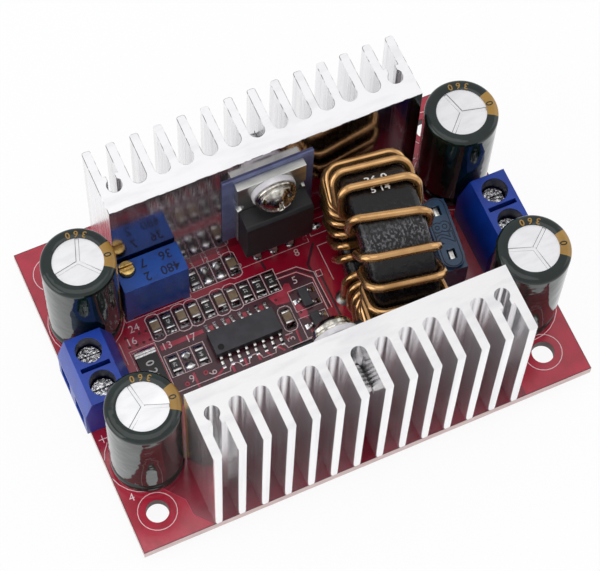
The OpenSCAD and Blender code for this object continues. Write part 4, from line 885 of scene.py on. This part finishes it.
INK_Z, THIN = COPPER + 0.01, 0.02
BOARD_TEXT = (("8", 3.2, 8.45, 0), ("24", -22.4, 6.85, 0), ("16", -23.5, 5.1, 0),
              ("17", -15.7, 2.4, 0), ("13", -19.2, 2.6, 0), ("9", -17.9, -3.35, 0),
              ("6", -14.8, -3.6, 90), ("31", -2.8, -2.9, 90), ("5", 1.2, 4.65, 0),
              ("4", -32.2, -16.0, 0), ("7", -31.6, 4.6, 0), ("11", 30.9, 17.2, 0),
              ("2", 24.7, 15.8, 0))
ROW_TEXT, ROW_TEXT_Y = (("3", -11.2), ("12", -9.2), ("5", -7.0)), 12.55
rows = [(text, 1.15, (x, y, INK_Z), turn) for text, x, y, turn in BOARD_TEXT]
rows += [(text, 0.8, (x, ROW_TEXT_Y, INK_Z), 0) for text, x in ROW_TEXT]
add_numbers("board_numbers", rows, 0.03, print_ink, bold=0)

# %% Numbers on chips, trimmer and sleeves
CHIP_INK_Z, SENSE_INK_Z, TRIMMER_INK_Z, RIM_Z = TOP + 0.51, TOP + 0.61, TOP + 9.81, TOP + 20.0
SENSE_X, C_CHIP_Y = -22.49, -0.55
C_CHIP_X = (-19.29, -15.37)
A_TEXT = (("42", -17.64), ("18", -11.76), ("27", -5.88), ("33", -3.92), ("51", -1.96))
CHIP_TEXT = [(text, x, A_START[1]) for text, x in A_TEXT] + [("15", *B_START)]
CHIP_TEXT += [(text, x, C_CHIP_Y) for text, x in zip(("29", "64"), C_CHIP_X)]
rows = [(text, 0.5, (x, y, CHIP_INK_Z), 90) for text, x, y in CHIP_TEXT]
rows += [("0 20", 1.2, (SENSE_X, SENSE_Y, SENSE_INK_Z), -90)]
add_numbers("chip_numbers", rows, THIN, white_ink)

TRIMMER_TEXT = (("480", -15.6, 9.4), ("2", -18.9, 9.4), ("36", -15.5, 11.5), ("7", -18.8, 11.5))
rows = [(text, 1.35, (x, y, TRIMMER_INK_Z), 180) for text, x, y in TRIMMER_TEXT]
add_numbers("trimmer_numbers", rows, THIN, dark_ink)


def on_rim(text, height, capacitor, reach, turn):
    """A row for a number on a sleeve's lip, turned to face outwards."""
    x, y = capacitor
    place = (x + reach * math.cos(turn), y + reach * math.sin(turn), RIM_Z)
    return text, height, place, math.degrees(turn) + 90


RIM_TURNS = [math.radians(turn) for turn in (56, 72, 88)]
rows = [on_rim(digit, 0.95, capacitor, 4.05, turn)
        for capacitor in CAPACITORS for digit, turn in zip("360", RIM_TURNS)]
add_numbers("rim_numbers", rows, THIN, gold_print)
rows = [on_rim("0", 1.0, capacitor, 4.1, turn) for capacitor, turn in zip(CAPACITORS, STRIPES)]
add_numbers("stripe_numbers", rows, THIN, film)

# %% Raised number and rim on the fuse, marks on the core
FUSE = Matrix.Translation((21.4, -0.4, TOP + 8.8)) @ Matrix.Rotation(math.radians(83), 4, "Z")
RIM_HALF, RIM_R = 3.95, 1.35
STADIUM = bow(RIM_HALF, 0, RIM_R, -90, 105) + bow(-RIM_HALF, 0, RIM_R, 90, 285)
STADIUM += [(RIM_HALF, -RIM_R)]
# The number's outline and the plateau's rim are dark with painted shade.
shape = number("28", 2.5, 0, FUSE, bold=0.03, ridge=0.075)
rim = round_bars("rim", [[(x, y, 0) for x, y in STADIUM]], 0.08, 2)
rim.transform(FUSE)
join(shape, rim)
add_piece("fuse_relief_painted_shade", shape, [fuse_relief_painted_shade])

shape = bmesh.new()
for text, height, tilt in (("36 0", 1.3, -27), ("5 14", 1.1, -17)):
    spot = COIL @ Matrix.Rotation(math.radians(tilt), 4, "X") @ Matrix.Translation((0, 0, CORE_R))
    join(shape, number(text, height, THIN, spot))
add_piece("core_numbers", shape, [white_ink])

# %% [markdown]
# ## Solder at the small chips
# Solder climbs the end of a chip in a hollow curve and runs out on its land. One curved profile is
# extruded across the chip for each end. Bare lands carry a mound: a flattened ball, sunk to its
# middle. The solder of the chips in rows, and the mounds at the packages' feet, take dark
# blotches: a painted reflection of the chips' dark sides, and a painted shade under the packages.

# %% Fillets
def fillet(bm, x, y, turn, width, height, reach):
    """A hollow wedge that falls away from a chip's end along the turned +Y direction."""
    curve = [(0, 0)] + [(reach * t, height * (1 - t) ** 2) for t in (0, 0.15, 0.35, 0.6, 1)]
    ring = [bm.verts.new((-width / 2, out, z)) for out, z in curve]
    side = bm.faces.new(ring)
    far = bmesh.ops.extrude_face_region(bm, geom=[side])["geom"]
    moved = [v for v in far if isinstance(v, bmesh.types.BMVert)]
    bmesh.ops.translate(bm, vec=(width, 0, 0), verts=moved)
    spot = Matrix.Translation((x, y, TOP + 0.03)) @ Matrix.Rotation(math.radians(turn), 4, "Z")
    bmesh.ops.transform(bm, matrix=spot, verts=ring + moved)


LOW_CHIP, HIGH_CHIP = 0.5, 0.85
CHIP_END, PIN_TOE, SENSE_END = 1, 3.02, 3.15
TRANSISTORS = ((1.4, 1.5), (1.5, -2.55))
BOTH_ENDS = ((1, 0), (-1, 180))
ENDS = [(x, y, HIGH_CHIP if cut else LOW_CHIP) for x, y, cut in ROW_A]
ENDS += [(*B_START, LOW_CHIP), (-6.02, 10.4, HIGH_CHIP), (*LONE, HIGH_CHIP)]
ENDS += [(x, C_CHIP_Y, LOW_CHIP) for x in C_CHIP_X]
shape = bmesh.new()
for x, y, high in ENDS:
    for s, turn in BOTH_ENDS:
        fillet(shape, x, y + s * CHIP_END, turn, width=1.3, height=high * 0.8, reach=0.55)
# The fillets of the chips in rows take the painted reflection.
paint(shape, lambda face, centre: 1)
for k in range(8):
    for s, turn in BOTH_ENDS:
        fillet(shape, CHIP_X + (k - 3.5) * PIN_STEP, CHIP_Y + s * PIN_TOE, turn, width=0.5,
               height=0.3, reach=0.5)
for x, y in TRANSISTORS:
    for dx, dy, turn in ((-1.2, 0, 90), (1.2, 0.95, -90), (1.2, -0.95, -90)):
        fillet(shape, x + dx, y + dy, turn, width=0.7, height=0.3, reach=0.6)
for s, turn in BOTH_ENDS:
    fillet(shape, SENSE_X, SENSE_Y + s * SENSE_END, turn, width=3.3, height=0.5, reach=0.5)
print(len(shape.faces), "faces of fillets")


# %% Mounds
def mound(bm, x, y, size):
    ball = bmesh.ops.create_uvsphere(bm, u_segments=24, v_segments=12, radius=1)["verts"]
    spot = Matrix.Translation((x, y, TOP)) @ Matrix.Diagonal((*size, 1))
    bmesh.ops.transform(bm, verts=ball, matrix=spot)


MOUNDS = [(B_START[0] + PITCH * k, B_START[1] + s * 0.95) for k in (1, 2) for s in (-1, 1)]
MOUNDS += [(-17.33, C_CHIP_Y + s * 0.95) for s in (-1, 1)] + [(7.4, 11.2)]
for x, y in MOUNDS:
    mound(shape, x, y, size=(0.86, 0.6, 0.38))
bmesh.ops.recalc_face_normals(shape, faces=shape.faces)
add_piece("chip_fillets", shape, [solder, solder_painted_dark], smooth=50)

PACKAGES, LEAD_PITCH = ((0.4, 10.3), (-0.8, -11.5)), 2.54
FEET = [(x + k * LEAD_PITCH, y) for x, y in PACKAGES for k in (-1, 0, 1)]
shape = bmesh.new()
for x, y in FEET:
    mound(shape, x, y, size=(0.75, 0.8, 0.4))
# The mounds at the packages' feet take the painted shade.
add_piece("lead_mounds", shape, [solder_painted_dark], smooth=50)

# %% [markdown]
# ## The camera, the floor and the light
# The camera stands where the photograph was taken, found by fitting the corners and holes of the
# board. The floor is near white for rays that the eye, metal or glass sends, and an ordinary
# surface for the rest, so it keeps the shadow without throwing extra light at the part.

# %% Camera
AZ, EL, ROLL = math.radians(-26.82), math.radians(66.05), math.radians(3.07)
TARGET, DISTANCE = Vector((0.945, 4.724, TOP)), 345.31
FOCAL, WIDE, HIGH, SENSOR = 2446.8, 600, 571, 36
MIDDLE = (292.89, 280.74)
back = Vector((math.sin(AZ) * math.cos(EL), -math.cos(AZ) * math.cos(EL), math.sin(EL)))
right = Vector((math.cos(AZ), math.sin(AZ), 0))
up = back.cross(right)
right, up = (math.cos(ROLL) * right + math.sin(ROLL) * up,
             math.cos(ROLL) * up - math.sin(ROLL) * right)
eye = TARGET + DISTANCE * back
camera = bpy.data.objects.new("camera", bpy.data.cameras.new("camera"))
bpy.context.scene.collection.objects.link(camera)
camera.data.sensor_width = SENSOR
camera.data.lens = FOCAL * SENSOR / WIDE
camera.data.shift_x = (WIDE / 2 - MIDDLE[0]) / WIDE
camera.data.shift_y = (MIDDLE[1] - HIGH / 2) / WIDE
camera.data.clip_start, camera.data.clip_end = 0.01, 20
turned = Matrix((right, up, back)).transposed().to_4x4()
camera.matrix_world = Matrix.Translation(eye * MM) @ turned
bpy.context.scene.camera = camera
print("camera at", [round(v, 1) for v in eye], "mm")


# %% Floor
def seen_rays(tree):
    path = add_node(tree, "LightPath")
    both = add_node(tree, "Math", {0: path.outputs["Is Camera Ray"],
                                   1: path.outputs["Is Glossy Ray"]}, operation="MAXIMUM")
    return add_node(tree, "Math", {0: both.outputs[0], 1: path.outputs["Is Transmission Ray"]},
                    operation="MAXIMUM").outputs[0]


FLOOR_HALF, FLOOR_GLOW = 3, 0.92
shape = bmesh.new()
bmesh.ops.create_grid(shape, x_segments=1, y_segments=1, size=FLOOR_HALF)
floor_mesh = bpy.data.meshes.new("floor")
shape.to_mesh(floor_mesh)
shape.free()
paper = bpy.data.materials.new("pale_floor")
paper.use_nodes = True
tree = paper.node_tree
base = tree.nodes["Principled BSDF"]
base.inputs["Base Color"].default_value = (0.86, 0.86, 0.87, 1)
base.inputs["Roughness"].default_value = 0.9
base.inputs["Specular IOR Level"].default_value = 0
glow = add_node(tree, "Emission", {"Color": (1, 1, 1, 1), "Strength": 1.0})
share = add_node(tree, "Math", {0: seen_rays(tree), 1: FLOOR_GLOW}, operation="MULTIPLY")
blend = add_node(tree, "MixShader", {0: share.outputs[0], 1: base.outputs[0], 2: glow.outputs[0]})
tree.links.new(blend.outputs[0], tree.nodes["Material Output"].inputs["Surface"])
floor_mesh.materials.append(paper)
floor = bpy.data.objects.new("floor", floor_mesh)
bpy.context.scene.collection.objects.link(floor)
print("floor laid")

# %% World and lamps
world = bpy.data.worlds.new("studio")
bpy.context.scene.world = world
world.use_nodes = True
sky = world.node_tree.nodes["Background"]
sky.inputs["Color"].default_value = (0.985, 0.985, 1.0, 1)
sky.inputs["Strength"].default_value = 0.85

AIM = Vector((0, 0, 0.01))
LAMPS = (("left_box", (-0.44, 0.0, 0.18), 0.4, 0.75), ("right_box", (0.42, 0.02, 0.24), 0.36, 0.3),
         ("top_box", (-0.08, 0.02, 0.56), 0.4, 0.42))
for name, place, size, power in LAMPS:
    light = bpy.data.lights.new(name, "AREA")
    light.shape, light.size, light.energy = "SQUARE", size, power
    lamp = bpy.data.objects.new(name, light)
    bpy.context.scene.collection.objects.link(lamp)
    lamp.location = place
    lamp.rotation_mode = "QUATERNION"
    lamp.rotation_quaternion = (Vector(place) - AIM).to_track_quat("Z", "Y")
bpy.context.scene.view_settings.view_transform = "Standard"
print(len(LAMPS), "lamps")
